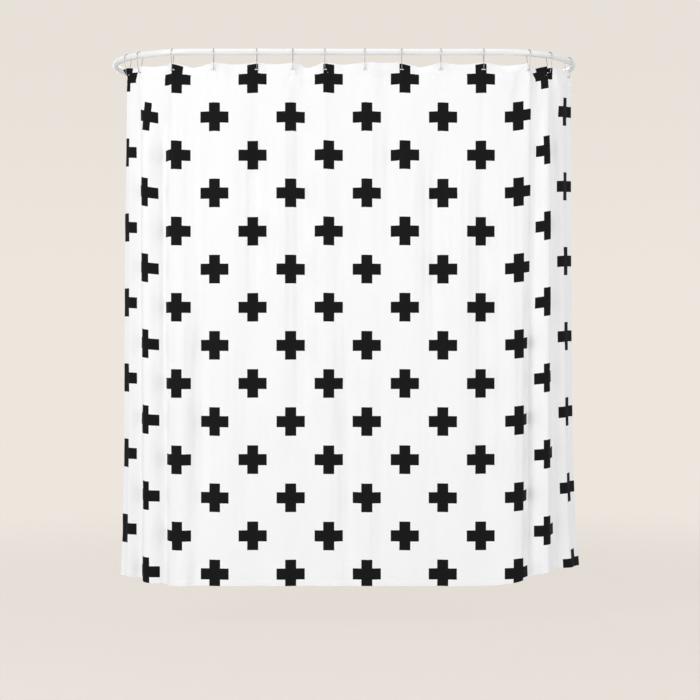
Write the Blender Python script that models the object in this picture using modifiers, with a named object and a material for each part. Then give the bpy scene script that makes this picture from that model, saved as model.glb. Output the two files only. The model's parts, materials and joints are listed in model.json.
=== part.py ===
"""Oval shower rail with a cloth shower curtain hung from fourteen wire hooks.

Metres, +Z up.  The wall is the plane y = 0 and the room is on its -Y side.  The origin is the
middle of the line between the two wall flanges, at the height of the rail's centre line.
"""

import math

import bmesh
import bpy
from mathutils import Vector

# ---------------------------------------------------------------- driving dimensions, in metres

GAP = 0.0003                    # clearance kept between pieces that touch on the real object

# Oval rail: two straight runs and two half-round ends, of one tube size.
STRAIGHT_RUN = 1.06
BEND_RADIUS = 0.31
WALL_TO_BACK_RUN = 0.12
TUBE_RADIUS = 0.011
TUBE_WALL = 0.001
TUBE_SIDES = 12
BEND_STEPS = 18
RETURN_LENGTH = 0.06            # straight part of the front rail past each bend, at the back

# Spigots that join the front rail to the back rail.
SPIGOT_RADIUS = 0.0093
SPIGOT_LENGTH = 0.09
JOINT_SCREW_OFFSET = 0.025      # from the joint to each of its screws

# Wall brackets.
ARM_X = 0.35
ARM_RADIUS = 0.0095
ARM_WALL = 0.0012
CLAMP_RADIUS = 0.016
CLAMP_LENGTH = 0.034
BOSS_RADIUS = 0.0135
CLAMP_REACH = 0.036             # from the rail's centre to the mouth of the clamp's socket
CLAMP_BORE = TUBE_RADIUS + 0.0006
SOCKET_RADIUS = ARM_RADIUS + 0.0005
SOCKET_FLOOR = 0.0145           # from the rail's centre to the floor of the clamp's socket
FLANGE_RADIUS = 0.032
FLANGE_THICKNESS = 0.005
FLANGE_HEIGHT = 0.022
FLANGE_FLOOR = 0.0035           # solid metal left behind the flange's socket
FLANGE_SCREW_CIRCLE = 0.023
FLANGE_SCREW_ANGLES = (90, 210, 330)
SCREW_RADIUS = 0.002
SCREW_HOLE = 0.0024
WALL_SCREW_LENGTH = 0.034       # into the wall

# Curtain: a 72 inch square, hung with little fullness.
CLOTH_THICKNESS = 0.001
FACING_THICKNESS = 0.0008
FACING_BEHIND = 0.0015          # from the panel's middle to the middle of a turned-in layer
CURTAIN_DROP = 1.829
CURTAIN_TOP = -0.0455
HEADER_DEPTH = 0.042
BOTTOM_HEM = 0.025
SIDE_HEM_COLUMNS = 1
LAYER_GAP = 0.002
HEAD_LEFT, HEAD_RIGHT = -0.842, 0.897       # edges along the rail, from the front's middle
FOOT_LEFT, FOOT_RIGHT = -0.872, 0.915
FOLD_AT_HEAD, FOLD_AT_FOOT = 0.004, 0.013   # how far the cloth bows between hooks
HEM_DIP = 0.009                             # how far the top edge drops between hooks
FOOT_FLARE = 0.012                          # how far the wrapped ends stand out at the foot
CURTAIN_COLUMNS = 64

# Buttonholes and hooks, left to right, along the rail from the front's middle.
HOOKS = (-0.809, -0.739, -0.602, -0.456, -0.305, -0.179, -0.067,
         0.073, 0.202, 0.339, 0.489, 0.652, 0.7435, 0.875)
BUTTONHOLE_WIDTH = 0.014
BUTTONHOLE_HEIGHT = 0.006
BUTTONHOLE_SLACK = 0.001        # from the wire to the top of its buttonhole
WIRE_RADIUS = 0.001
HOOK_TOP_RADIUS = 0.015
HOOK_FOOT_RADIUS = 0.006
HOOK_LENGTH = 0.0728            # between the wire's centre at the top and at the bottom
HOOK_MOUTH = 0.0008             # gap between the wire's two ends

# ---------------------------------------------------------------- values worked out from them

HALF_RUN = STRAIGHT_RUN / 2
RING_Y = -(WALL_TO_BACK_RUN + BEND_RADIUS)
BACK_Y = -WALL_TO_BACK_RUN
JOINT_X = HALF_RUN - RETURN_LENGTH
HOOK_TOP = TUBE_RADIUS + WIRE_RADIUS + GAP
HOOK_BOTTOM = HOOK_TOP - HOOK_LENGTH
BUTTONHOLE_TOP = HOOK_BOTTOM + WIRE_RADIUS + BUTTONHOLE_SLACK

WHITE_PAINT = (0.86, 0.86, 0.84)
DARK_CHROME = (0.30, 0.30, 0.31)
STEEL = (0.55, 0.55, 0.56)
WHITE_CLOTH = (0.88, 0.88, 0.87)


# ---------------------------------------------------------------- scene and helpers

def clear_scene():
    for obj in list(bpy.data.objects):
        bpy.data.objects.remove(obj, do_unlink=True)


def new_collection(name, parent):
    collection = bpy.data.collections.new(name)
    parent.children.link(collection)
    return collection


clear_scene()
PARTS = new_collection("shower_curtain", bpy.context.scene.collection)
CUTTERS = new_collection("cutters", bpy.context.scene.collection)
BUTTONHOLES = new_collection("buttonhole_cutters", CUTTERS)


def finish(obj, colour, roughness, metallic):
    """Gives an object its own Principled material."""
    material = bpy.data.materials.new(obj.name + "_finish")
    material.use_nodes = True
    shader = material.node_tree.nodes["Principled BSDF"]
    shader.inputs["Base Color"].default_value = (*colour, 1)
    shader.inputs["Roughness"].default_value = roughness
    shader.inputs["Metallic"].default_value = metallic
    obj.data.materials.clear()
    obj.data.materials.append(material)
    return obj


def painted(obj):
    return finish(obj, WHITE_PAINT, 0.25, 0.0)


def steel(obj):
    return finish(obj, STEEL, 0.35, 1.0)


def cloth(obj):
    return finish(obj, WHITE_CLOTH, 0.85, 0.0)


def place(name, data, collection=PARTS, location=(0, 0, 0), rotation=(0, 0, 0)):
    obj = bpy.data.objects.new(name, data)
    obj.location = location
    obj.rotation_euler = rotation
    collection.objects.link(obj)
    return obj


def hide_cutter(obj):
    obj.hide_render = True
    obj.display_type = "WIRE"
    return obj


def mesh_from(bm, name):
    mesh = bpy.data.meshes.new(name)
    bm.to_mesh(mesh)
    bm.free()
    return mesh


def cylinder_mesh(name, radius, start, end, sides=20):
    """A closed cylinder along local Z, from height start to height end."""
    bm = bmesh.new()
    bmesh.ops.create_cone(bm, cap_ends=True, segments=sides, radius1=radius, radius2=radius,
                          depth=end - start)
    bmesh.ops.translate(bm, verts=bm.verts, vec=(0, 0, (start + end) / 2))
    return mesh_from(bm, name)


def helper(name, mesh, location, rotation):
    return hide_cutter(place(name, mesh, CUTTERS, location, rotation))


def boolean(obj, other, operation="DIFFERENCE"):
    modifier = obj.modifiers.new(other.name, "BOOLEAN")
    modifier.operation = operation
    modifier.object = other
    modifier.solver = "EXACT"


def turned(name, profile, location, rotation, steps=20):
    """A solid turned about local Z; the profile is (radius, height) down its outer side."""
    bm = bmesh.new()
    points = [bm.verts.new((radius, 0, height)) for radius, height in profile]
    for start, end in zip(points, points[1:]):
        bm.edges.new((start, end))
    obj = place(name, mesh_from(bm, name), PARTS, location, rotation)
    screw = obj.modifiers.new("turn", "SCREW")
    screw.steps = steps
    screw.render_steps = steps
    screw.use_merge_vertices = True
    screw.merge_threshold = 0.00001
    screw.use_smooth_shade = False
    return obj


def wire_curve(name, points, radius, resolution, caps):
    """A POLY curve with a round bevel through the points."""
    curve = bpy.data.curves.new(name, "CURVE")
    curve.dimensions = "3D"
    curve.bevel_depth = radius
    curve.bevel_resolution = resolution
    curve.use_fill_caps = caps
    spline = curve.splines.new("POLY")
    spline.points.add(len(points) - 1)
    for knot, point in zip(spline.points, points):
        knot.co = (*point, 1)
    return curve


def hollow_tube(name, points, radius, wall):
    """An open-ended tube along the points, with its wall inside the given radius."""
    curve = place(name + "_path", wire_curve(name, points, radius, TUBE_SIDES // 2 - 2, False))
    bpy.context.view_layer.update()
    graph = bpy.context.evaluated_depsgraph_get()
    mesh = bpy.data.meshes.new_from_object(curve.evaluated_get(graph))
    bpy.data.objects.remove(curve, do_unlink=True)
    obj = place(name, mesh)
    solidify = obj.modifiers.new("wall", "SOLIDIFY")
    solidify.thickness = wall
    solidify.offset = -1
    return obj


# ---------------------------------------------------------------- oval rail

def rail_frame(along):
    """Origin, turn and outward direction of the rail at a distance along its centre line.

    The distance runs from the middle of the front run, to the right.  The origin is on the
    bend's own axis, or straight behind the point on the front run.
    """
    straight = min(max(along, -HALF_RUN), HALF_RUN)
    turn = (along - straight) / BEND_RADIUS
    origin = Vector((straight, RING_Y, 0))
    outward = Vector((math.sin(turn), -math.cos(turn), 0))
    return origin, turn, outward


def rail_point(along):
    origin, _, outward = rail_frame(along)
    return origin + outward * BEND_RADIUS


def make_rails():
    bend = math.pi * BEND_RADIUS
    right = [rail_point(HALF_RUN + bend * i / BEND_STEPS) for i in range(BEND_STEPS + 1)]
    right.append(Vector((JOINT_X + GAP / 2, BACK_Y, 0)))
    left = [Vector((-point.x, point.y, 0)) for point in reversed(right)]
    front_rail = painted(hollow_tube("front_rail", left + right, TUBE_RADIUS, TUBE_WALL))
    back_x = JOINT_X - GAP / 2
    ends = [Vector((-back_x, BACK_Y, 0)), Vector((back_x, BACK_Y, 0))]
    back_rail = painted(hollow_tube("back_rail", ends, TUBE_RADIUS, TUBE_WALL))
    return front_rail, back_rail


def make_rail_joint(side, name, front_rail, back_rail):
    """A spigot inside both tube ends, and the screw from below into each of them."""
    centre = Vector((side * JOINT_X, BACK_Y, 0))
    half = SPIGOT_LENGTH / 2
    mesh = cylinder_mesh("spigot_" + name, SPIGOT_RADIUS, -half, half, TUBE_SIDES)
    spigot = steel(place("spigot_" + name, mesh, PARTS, centre, (0, math.pi / 2, 0)))
    head = -(TUBE_RADIUS + GAP)
    profile = ((0, -0.0035), (SCREW_RADIUS, -0.004), (SCREW_RADIUS, head), (0.0036, head),
               (0.0036, head - 0.001), (0.0024, head - 0.002), (0, head - 0.002))
    for end, rail in (("front", front_rail), ("back", back_rail)):
        outwards = side if end == "front" else -side
        spot = centre + Vector((outwards * JOINT_SCREW_OFFSET, 0, 0))
        steel(turned(f"joint_screw_{name}_{end}", profile, spot, (0, 0, 0), 12))
        drill = cylinder_mesh("joint_drill", SCREW_HOLE, -0.014, -0.003, 12)
        hole = helper(f"joint_drill_{name}_{end}", drill, spot, (0, 0, 0))
        boolean(rail, hole)
        boolean(spigot, hole)


# ---------------------------------------------------------------- wall brackets

TO_ROOM = (math.pi / 2, 0, 0)       # turns local +Z to -Y, out from the wall
TO_WALL = (-math.pi / 2, 0, 0)      # turns local +Z to +Y
ALONG_RAIL = (0, math.pi / 2, 0)    # turns local +Z to +X


def make_grub_screw(name, tip, spot):
    """A headless screw from below, its tip at the given height under the spot."""
    length = 0.0055
    profile = ((0, -tip), (SCREW_RADIUS - 0.0006, -tip), (SCREW_RADIUS, -tip - 0.0006),
               (SCREW_RADIUS, -tip - length), (0, -tip - length))
    return steel(turned(name, profile, spot, (0, 0, 0), 12))


def make_clamp(side, name):
    """A collar round the back rail, with a socket for the arm and two grub screws."""
    centre = Vector((side * ARM_X, BACK_Y, 0))
    half = CLAMP_LENGTH / 2
    collar = cylinder_mesh("rail_clamp_" + name, CLAMP_RADIUS, -half, half)
    clamp = painted(place("rail_clamp_" + name, collar, PARTS, centre, ALONG_RAIL))
    boss = helper("clamp_boss_" + name, cylinder_mesh("boss", BOSS_RADIUS, 0, CLAMP_REACH),
                  centre, TO_WALL)
    bore = helper("clamp_bore_" + name, cylinder_mesh("bore", CLAMP_BORE, -0.05, 0.05),
                  centre, ALONG_RAIL)
    socket = helper("clamp_socket_" + name,
                    cylinder_mesh("socket", SOCKET_RADIUS, SOCKET_FLOOR, 0.05), centre, TO_WALL)
    boolean(clamp, boss, "UNION")
    boolean(clamp, bore)
    boolean(clamp, socket)
    rail_spot = centre + Vector((-side * 0.009, 0, 0))
    arm_spot = centre + Vector((0, 0.029, 0))
    for label, spot, tip in (("rail", rail_spot, TUBE_RADIUS + GAP),
                             ("arm", arm_spot, ARM_RADIUS + GAP)):
        make_grub_screw(f"clamp_screw_{name}_{label}", tip, spot)
        drill = cylinder_mesh("clamp_drill", SCREW_HOLE, -0.03, -0.008, 12)
        boolean(clamp, helper(f"clamp_drill_{name}_{label}", drill, spot, (0, 0, 0)))


def make_flange(side, name):
    """A round wall plate with a socket for the arm, three wall screws and a grub screw."""
    centre = Vector((side * ARM_X, 0, 0))
    face = FLANGE_THICKNESS
    profile = ((0, FLANGE_FLOOR), (SOCKET_RADIUS, FLANGE_FLOOR), (SOCKET_RADIUS, FLANGE_HEIGHT),
               (BOSS_RADIUS - 0.001, FLANGE_HEIGHT), (BOSS_RADIUS, FLANGE_HEIGHT - 0.001),
               (BOSS_RADIUS, face + 0.002), (BOSS_RADIUS + 0.002, face),
               (FLANGE_RADIUS - 0.002, face), (FLANGE_RADIUS, face - 0.002),
               (FLANGE_RADIUS, 0), (0, 0))
    flange = painted(turned("wall_flange_" + name, profile, centre, TO_ROOM))
    head = face + GAP
    screw = ((0, head + 0.0026), (0.003, head + 0.0024), (0.0044, head + 0.0012), (0.0044, head),
             (SCREW_RADIUS, head), (SCREW_RADIUS, -WALL_SCREW_LENGTH + 0.005),
             (0, -WALL_SCREW_LENGTH))
    for number, degrees in enumerate(FLANGE_SCREW_ANGLES, 1):
        angle = math.radians(degrees)
        offset = Vector((math.cos(angle), 0, math.sin(angle))) * FLANGE_SCREW_CIRCLE
        steel(turned(f"wall_screw_{name}_{number}", screw, centre + offset, TO_ROOM, 12))
        drill = cylinder_mesh("flange_drill", SCREW_HOLE, -0.01, 0.02, 12)
        boolean(flange, helper(f"flange_drill_{name}_{number}", drill, centre + offset, TO_ROOM))
    spot = centre + Vector((0, -0.015, 0))
    make_grub_screw("flange_screw_" + name, ARM_RADIUS + GAP, spot)
    drill = cylinder_mesh("grub_drill", SCREW_HOLE, -0.03, -0.008, 12)
    boolean(flange, helper("grub_drill_" + name, drill, spot, (0, 0, 0)))


def make_arm(side, name):
    x = side * ARM_X
    ends = [Vector((x, -(FLANGE_FLOOR + GAP), 0)), Vector((x, BACK_Y + SOCKET_FLOOR + GAP, 0))]
    painted(hollow_tube("wall_arm_" + name, ends, ARM_RADIUS, ARM_WALL))


# ---------------------------------------------------------------- curtain

def hook_count(along):
    """Hooks passed on the way to this point, with the fraction of the way to the next one."""
    first = 2 * HOOKS[0] - HOOKS[1]
    last = 2 * HOOKS[-1] - HOOKS[-2]
    stations = (first, *HOOKS, last)
    for number, (start, end) in enumerate(zip(stations, stations[1:])):
        if along <= end or end == last:
            return number + (along - start) / (end - start)


def curtain_point(across, down, behind):
    """A point of the hung cloth: across 0 to 1 from the left edge, down from the top hem."""
    depth = down / CURTAIN_DROP
    left = HEAD_LEFT + (FOOT_LEFT - HEAD_LEFT) * depth
    right = HEAD_RIGHT + (FOOT_RIGHT - HEAD_RIGHT) * depth
    along = left + (right - left) * across
    origin, _, outward = rail_frame(along)
    wave = math.sin(math.pi * hook_count(along))
    bow = wave * (FOLD_AT_HEAD + (FOLD_AT_FOOT - FOLD_AT_HEAD) * depth)
    wrap = max(0, abs(along) - HALF_RUN) / BEND_RADIUS
    flare = FOOT_FLARE * depth * min(wrap, 1)
    dip = HEM_DIP * wave ** 2 * max(0, 1 - down / HEADER_DEPTH)
    point = origin + outward * (BEND_RADIUS + bow + flare - behind)
    point.z = CURTAIN_TOP - down - dip
    return point


def cloth_layer(name, columns, rows, thickness, behind=0):
    """A sheet through every pair of column and row, thickened about its middle."""
    bm = bmesh.new()
    wide = len(columns) - 1
    tall = len(rows) - 1
    bmesh.ops.create_grid(bm, x_segments=wide, y_segments=tall, size=0.5)
    for vert in bm.verts:
        column = columns[round((vert.co.x + 0.5) * wide)]
        row = rows[round((0.5 - vert.co.y) * tall)]
        vert.co = curtain_point(column, row, behind)
    obj = place(name, mesh_from(bm, name))
    solidify = obj.modifiers.new("cloth", "SOLIDIFY")
    solidify.thickness = thickness
    solidify.offset = 0
    return cloth(obj)


def make_buttonhole_cutters():
    for number, along in enumerate(HOOKS, 1):
        origin, turn, outward = rail_frame(along)
        bm = bmesh.new()
        bmesh.ops.create_cube(bm, size=1)
        bmesh.ops.scale(bm, verts=bm.verts, vec=(BUTTONHOLE_WIDTH, 0.03, BUTTONHOLE_HEIGHT))
        spot = origin + outward * BEND_RADIUS
        spot.z = BUTTONHOLE_TOP - BUTTONHOLE_HEIGHT / 2
        mesh = mesh_from(bm, "buttonhole_cutter")
        hide_cutter(place(f"buttonhole_cutter_{number:02d}", mesh, BUTTONHOLES, spot,
                          (0, 0, turn)))


def cut_buttonholes(obj):
    modifier = obj.modifiers.new("buttonholes", "BOOLEAN")
    modifier.operation = "DIFFERENCE"
    modifier.operand_type = "COLLECTION"
    modifier.collection = BUTTONHOLES
    modifier.solver = "EXACT"


def make_curtain():
    columns = [i / CURTAIN_COLUMNS for i in range(CURTAIN_COLUMNS + 1)]
    hem_start = CURTAIN_DROP - BOTTOM_HEM
    body = [HEADER_DEPTH + LAYER_GAP, 0.12, 0.35, 0.65, 0.95, 1.25, 1.55, hem_start - LAYER_GAP]
    header = [0, 0.010, 0.028, HEADER_DEPTH]
    hem = [hem_start, CURTAIN_DROP]
    panel = cloth_layer("curtain_panel", columns, header + body + hem, CLOTH_THICKNESS)
    facing = cloth_layer("header_facing", columns, header, FACING_THICKNESS, FACING_BEHIND)
    cloth_layer("bottom_hem", columns, hem, FACING_THICKNESS, FACING_BEHIND)
    edge = columns[:SIDE_HEM_COLUMNS + 1]
    cloth_layer("side_hem_left", edge, body, FACING_THICKNESS, FACING_BEHIND)
    edge = columns[-SIDE_HEM_COLUMNS - 1:]
    cloth_layer("side_hem_right", edge, body, FACING_THICKNESS, FACING_BEHIND)
    make_buttonhole_cutters()
    cut_buttonholes(panel)
    cut_buttonholes(facing)


# ---------------------------------------------------------------- hooks

def hook_path():
    """Pear-shaped loop of wire in the plane across the rail, open at its inner side."""
    top = HOOK_TOP - HOOK_TOP_RADIUS
    foot = HOOK_BOTTOM + HOOK_FOOT_RADIUS
    lean = math.asin((HOOK_TOP_RADIUS - HOOK_FOOT_RADIUS) / (top - foot))
    loop = []
    for centre, radius, start, end, steps in (
            (top, HOOK_TOP_RADIUS, -lean, math.pi + lean, 9),
            (foot, HOOK_FOOT_RADIUS, math.pi + lean, 2 * math.pi - lean, 5)):
        for i in range(steps + 1):
            angle = start + (end - start) * i / steps
            loop.append(Vector((0, radius * math.cos(angle), centre + radius * math.sin(angle))))
    middle = (loop[0] + loop[-1]) / 2
    along = (loop[0] - loop[-1]).normalized() * (HOOK_MOUTH / 2)
    loop = [middle + along, *loop, middle - along]
    return [point + Vector((0, -BEND_RADIUS, 0)) for point in loop]


def make_hooks():
    for number, along in enumerate(HOOKS, 1):
        origin, turn, _ = rail_frame(along)
        curve = wire_curve(f"hook_{number:02d}", hook_path(), WIRE_RADIUS, 2, True)
        hook = place(f"hook_{number:02d}", curve, PARTS, origin, (0, 0, turn))
        finish(hook, DARK_CHROME, 0.18, 1.0)


# ---------------------------------------------------------------- build

def build():
    front_rail, back_rail = make_rails()
    for side, name in ((-1, "left"), (1, "right")):
        make_rail_joint(side, name, front_rail, back_rail)
        make_clamp(side, name)
        make_flange(side, name)
        make_arm(side, name)
    make_curtain()
    make_hooks()


build()
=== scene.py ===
"""The looks of a printed cloth shower curtain on an oval rail: rails, brackets, hooks, cloth and stage."""

import json
import math

import bpy
import numpy as np
from mathutils import Matrix, Quaternion, Vector


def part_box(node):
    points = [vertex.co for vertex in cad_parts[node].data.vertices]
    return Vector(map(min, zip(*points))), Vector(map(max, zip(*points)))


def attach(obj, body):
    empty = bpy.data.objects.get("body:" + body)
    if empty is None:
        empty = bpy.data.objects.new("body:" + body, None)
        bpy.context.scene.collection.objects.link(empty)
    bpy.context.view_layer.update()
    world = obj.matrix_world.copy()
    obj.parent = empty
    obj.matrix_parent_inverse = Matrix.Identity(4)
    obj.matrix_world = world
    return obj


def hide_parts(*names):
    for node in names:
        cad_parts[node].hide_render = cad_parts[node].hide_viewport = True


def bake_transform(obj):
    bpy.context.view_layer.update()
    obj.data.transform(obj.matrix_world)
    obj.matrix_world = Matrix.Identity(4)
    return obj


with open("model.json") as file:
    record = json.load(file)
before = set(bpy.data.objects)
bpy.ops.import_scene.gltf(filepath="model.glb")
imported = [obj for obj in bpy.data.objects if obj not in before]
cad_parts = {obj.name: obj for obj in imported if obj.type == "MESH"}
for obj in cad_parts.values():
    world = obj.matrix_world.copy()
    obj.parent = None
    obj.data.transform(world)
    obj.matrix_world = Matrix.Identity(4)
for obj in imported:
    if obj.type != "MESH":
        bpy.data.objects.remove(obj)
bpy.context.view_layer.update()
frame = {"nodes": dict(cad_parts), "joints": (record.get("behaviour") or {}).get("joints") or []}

bl_info = {
    "name": "Shower Curtain on an Oval Rail",
    "version": (1, 0, 0),
    "blender": (4, 5, 0),
    "location": "3D View > Sidebar > Curtain",
    "description": "Models a printed cloth curtain with its hooks, oval rail and wall brackets",
    "category": "Add Mesh",
}

# ---------------------------------------------------------------- places read from the frame

JOINTS = {joint["name"]: joint for joint in frame["joints"]}
BEND_X, RING_Y, _ = JOINTS["draw_right"]["pos_m"]
TUBE_RADIUS = 0.011
BEND_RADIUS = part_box("front_rail")[1].x - BEND_X - TUBE_RADIUS
FRONT_Y = RING_Y - BEND_RADIUS
BACK_Y = RING_Y + BEND_RADIUS
HOOK_NODES = [f"hook_{number:02d}" for number in range(1, 15)]
SIDES = ((-1, "left"), (1, "right"))
FOOT_BAND = 0.0015                   # a hook's foot is this far up from its lowest point
FLOOR_GAP = 0.165                    # from the floor up to the cloth's lowest point


def rail_frame(along):
    """Point, outward direction and turn of the rail's centre line, this far right of its middle."""
    straight = min(max(along, -BEND_X), BEND_X)
    turn = (along - straight) / BEND_RADIUS
    outward = Vector((math.sin(turn), -math.cos(turn), 0))
    return Vector((straight, RING_Y, 0)) + outward * BEND_RADIUS, outward, turn


def node_points(node):
    """A CAD node's points, one to a row."""
    return np.array([vert.co for vert in frame["nodes"][node].data.vertices])


def hook_along(node):
    """How far along the rail a hook hangs, from where its wire is lowest."""
    points = node_points(node)
    x, y, _ = points[points[:, 2] < points[:, 2].min() + FOOT_BAND].mean(axis=0)
    if abs(x) <= BEND_X:
        return float(x)
    turn = math.atan2(abs(x) - BEND_X, RING_Y - y)
    return math.copysign(BEND_X + turn * BEND_RADIUS, x)


HOOKS_ALONG = [hook_along(node) for node in HOOK_NODES]
HOOK_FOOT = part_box(HOOK_NODES[0])[0].z
FLOOR_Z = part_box("curtain_panel")[0].z - FLOOR_GAP


# ---------------------------------------------------------------- settings

class CurtainSettings(bpy.types.PropertyGroup):
    """Sizes and colours of the cloth and its print."""
    flat_width: bpy.props.FloatProperty(
        name="Cut width", description="Width of the hemmed cloth laid flat", default=1.829,
        unit="LENGTH")
    flat_drop: bpy.props.FloatProperty(
        name="Cut drop", description="Height of the hemmed cloth laid flat", default=1.829,
        unit="LENGTH")
    header_depth: bpy.props.FloatProperty(
        name="Header depth", description="Depth of the turned-in top hem", default=0.042,
        unit="LENGTH")
    hem_depth: bpy.props.FloatProperty(
        name="Bottom hem depth", description="Depth of the turned-in bottom hem", default=0.025,
        unit="LENGTH")
    side_depth: bpy.props.FloatProperty(
        name="Side hem depth", description="Depth of the turned-in side hems", default=0.018,
        unit="LENGTH")
    thickness: bpy.props.FloatProperty(
        name="Cloth thickness", description="Thickness of one layer of cloth", default=0.00045,
        unit="LENGTH")
    buttonhole_width: bpy.props.FloatProperty(
        name="Buttonhole width", description="Width of each buttonhole's slot", default=0.016,
        unit="LENGTH")
    buttonhole_height: bpy.props.FloatProperty(
        name="Buttonhole height", description="Height of each buttonhole's slot", default=0.0036,
        unit="LENGTH")
    cloth_colour: bpy.props.FloatVectorProperty(
        name="Cloth", description="Colour of the woven ground", subtype="COLOR", size=3, min=0,
        max=1, default=(0.92, 0.92, 0.915))
    print_colour: bpy.props.FloatVectorProperty(
        name="Print", description="Colour of the printed shapes", subtype="COLOR", size=3, min=0,
        max=1, default=(0.004, 0.004, 0.0045))
    repeat_across: bpy.props.FloatProperty(
        name="Repeat across", description="Distance between printed shapes in a row",
        default=0.2707, unit="LENGTH")
    repeat_down: bpy.props.FloatProperty(
        name="Repeat down", description="Distance between like rows of the print", default=0.2667,
        unit="LENGTH")
    print_across: bpy.props.FloatProperty(
        name="Print start across", description="Middle of a printed shape from the cloth's middle",
        default=-0.0542, unit="LENGTH")
    print_down: bpy.props.FloatProperty(
        name="Print start down", description="Middle of the first row under the top edge",
        default=0.0537, unit="LENGTH")
    plus_size: bpy.props.FloatProperty(
        name="Plus size", description="Length of each bar of a printed plus", default=0.1003,
        unit="LENGTH")
    plus_bar: bpy.props.FloatProperty(
        name="Plus bar", description="Width of each bar of a printed plus", default=0.0393,
        unit="LENGTH")


class RailSettings(bpy.types.PropertyGroup):
    """Sizes and colours of the rails, brackets and screws."""
    wall: bpy.props.FloatProperty(
        name="Tube wall", description="Wall thickness of the rail's tube", default=0.001,
        unit="LENGTH")
    paint: bpy.props.FloatVectorProperty(
        name="Paint", description="Colour of the rail and brackets", subtype="COLOR", size=3, min=0,
        max=1, default=(0.84, 0.84, 0.825))
    steel: bpy.props.FloatVectorProperty(
        name="Steel", description="Colour of screws and spigots", subtype="COLOR", size=3, min=0,
        max=1, default=(0.56, 0.56, 0.57))


class HookSettings(bpy.types.PropertyGroup):
    """Sizes and colour of the wire hooks."""
    wire: bpy.props.FloatProperty(
        name="Wire radius", description="Radius of the hooks' wire", default=0.001, unit="LENGTH")
    top_radius: bpy.props.FloatProperty(
        name="Top bend", description="Radius of the wire's bend over the rail", default=0.015,
        unit="LENGTH")
    foot_radius: bpy.props.FloatProperty(
        name="Foot bend", description="Radius of the wire's bend in the buttonhole", default=0.006,
        unit="LENGTH")
    colour: bpy.props.FloatVectorProperty(
        name="Wire", description="Colour of the hooks' wire", subtype="COLOR", size=3, min=0, max=1,
        default=(0.42, 0.42, 0.43))


class StageSettings(bpy.types.PropertyGroup):
    """Colours and light of the studio."""
    backdrop: bpy.props.FloatVectorProperty(
        name="Backdrop", description="Colour behind the object", subtype="COLOR", size=3, min=0,
        max=1, default=(0.847, 0.792, 0.730))
    floor: bpy.props.FloatVectorProperty(
        name="Floor", description="Colour of the floor", subtype="COLOR", size=3, min=0, max=1,
        default=(0.70, 0.65, 0.595))
    room: bpy.props.FloatVectorProperty(
        name="Room light", description="Colour of the light from all round", subtype="COLOR",
        size=3, min=0, max=1, default=(0.97, 0.97, 1.0))
    room_power: bpy.props.FloatProperty(
        name="Room light strength", description="Strength of the light from all round",
        default=0.65)
    key_power: bpy.props.FloatProperty(
        name="Key light", description="Power of the large front light", default=131,
        subtype="POWER")


SETTINGS = {"curtain_looks": CurtainSettings, "rail_looks": RailSettings,
            "hook_looks": HookSettings, "stage_looks": StageSettings}


def settings(group):
    return getattr(bpy.context.scene, group)


# ---------------------------------------------------------------- material nodes

def new_group(name, inputs, outputs):
    """A shader node group with float, vector or colour sockets; returns it with its ends."""
    group = bpy.data.node_groups.new(name, "ShaderNodeTree")
    for label, kind, default in inputs:
        socket = group.interface.new_socket(label, in_out="INPUT", socket_type="NodeSocket" + kind)
        if default is not None:
            socket.default_value = default
    for label, kind in outputs:
        group.interface.new_socket(label, in_out="OUTPUT", socket_type="NodeSocket" + kind)
    return group, group.nodes.new("NodeGroupInput"), group.nodes.new("NodeGroupOutput")


def feed(tree, socket, value):
    """Links a socket to a node's output, or sets it to a number or colour."""
    if isinstance(value, bpy.types.NodeSocket):
        tree.links.new(value, socket)
    else:
        socket.default_value = value


def math_node(tree, operation, first, second=None, third=None, clamp=False):
    """A Math node on sockets or numbers; returns its result."""
    node = tree.nodes.new("ShaderNodeMath")
    node.operation = operation
    node.use_clamp = clamp
    for socket, value in zip(node.inputs, (first, second, third)):
        if value is not None:
            feed(tree, socket, value)
    return node.outputs[0]


def mix_colour(tree, factor, first, second):
    """The first colour where the factor is 0, and the second where it is 1."""
    node = tree.nodes.new("ShaderNodeMix")
    node.data_type = "RGBA"
    feed(tree, node.inputs[0], factor)
    for socket, value in ((node.inputs[6], first), (node.inputs[7], second)):
        feed(tree, socket, value if isinstance(value, bpy.types.NodeSocket) else (*value[:3], 1))
    return node.outputs[2]


def noise_node(tree, vector, scale, detail=3.0, roughness=0.5, distortion=0.0):
    """Soft random values from 0 to 1."""
    node = tree.nodes.new("ShaderNodeTexNoise")
    feed(tree, node.inputs["Vector"], vector)
    node.inputs["Scale"].default_value = scale
    node.inputs["Detail"].default_value = detail
    node.inputs["Roughness"].default_value = roughness
    node.inputs["Distortion"].default_value = distortion
    return node.outputs["Fac"]


def ramp(tree, value, low, high, start=0.0, end=1.0, smooth=False):
    """Takes a value from the range low to high into the range start to end."""
    node = tree.nodes.new("ShaderNodeMapRange")
    node.interpolation_type = "SMOOTHSTEP" if smooth else "LINEAR"
    for label, number in (("From Min", low), ("From Max", high), ("To Min", start), ("To Max", end)):
        node.inputs[label].default_value = number
    feed(tree, node.inputs["Value"], value)
    return node.outputs["Result"]


def scaled(tree, vector, scale):
    """Coordinates stretched along each axis."""
    node = tree.nodes.new("ShaderNodeMapping")
    node.inputs["Scale"].default_value = scale
    tree.links.new(vector, node.inputs["Vector"])
    return node.outputs["Vector"]


def bump(tree, height, distance, strength=1.0, normal=None):
    """A bumped normal, on top of another one where it is given."""
    node = tree.nodes.new("ShaderNodeBump")
    node.inputs["Strength"].default_value = strength
    node.inputs["Distance"].default_value = distance
    feed(tree, node.inputs["Height"], height)
    if normal is not None:
        tree.links.new(normal, node.inputs["Normal"])
    return node.outputs["Normal"]


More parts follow.
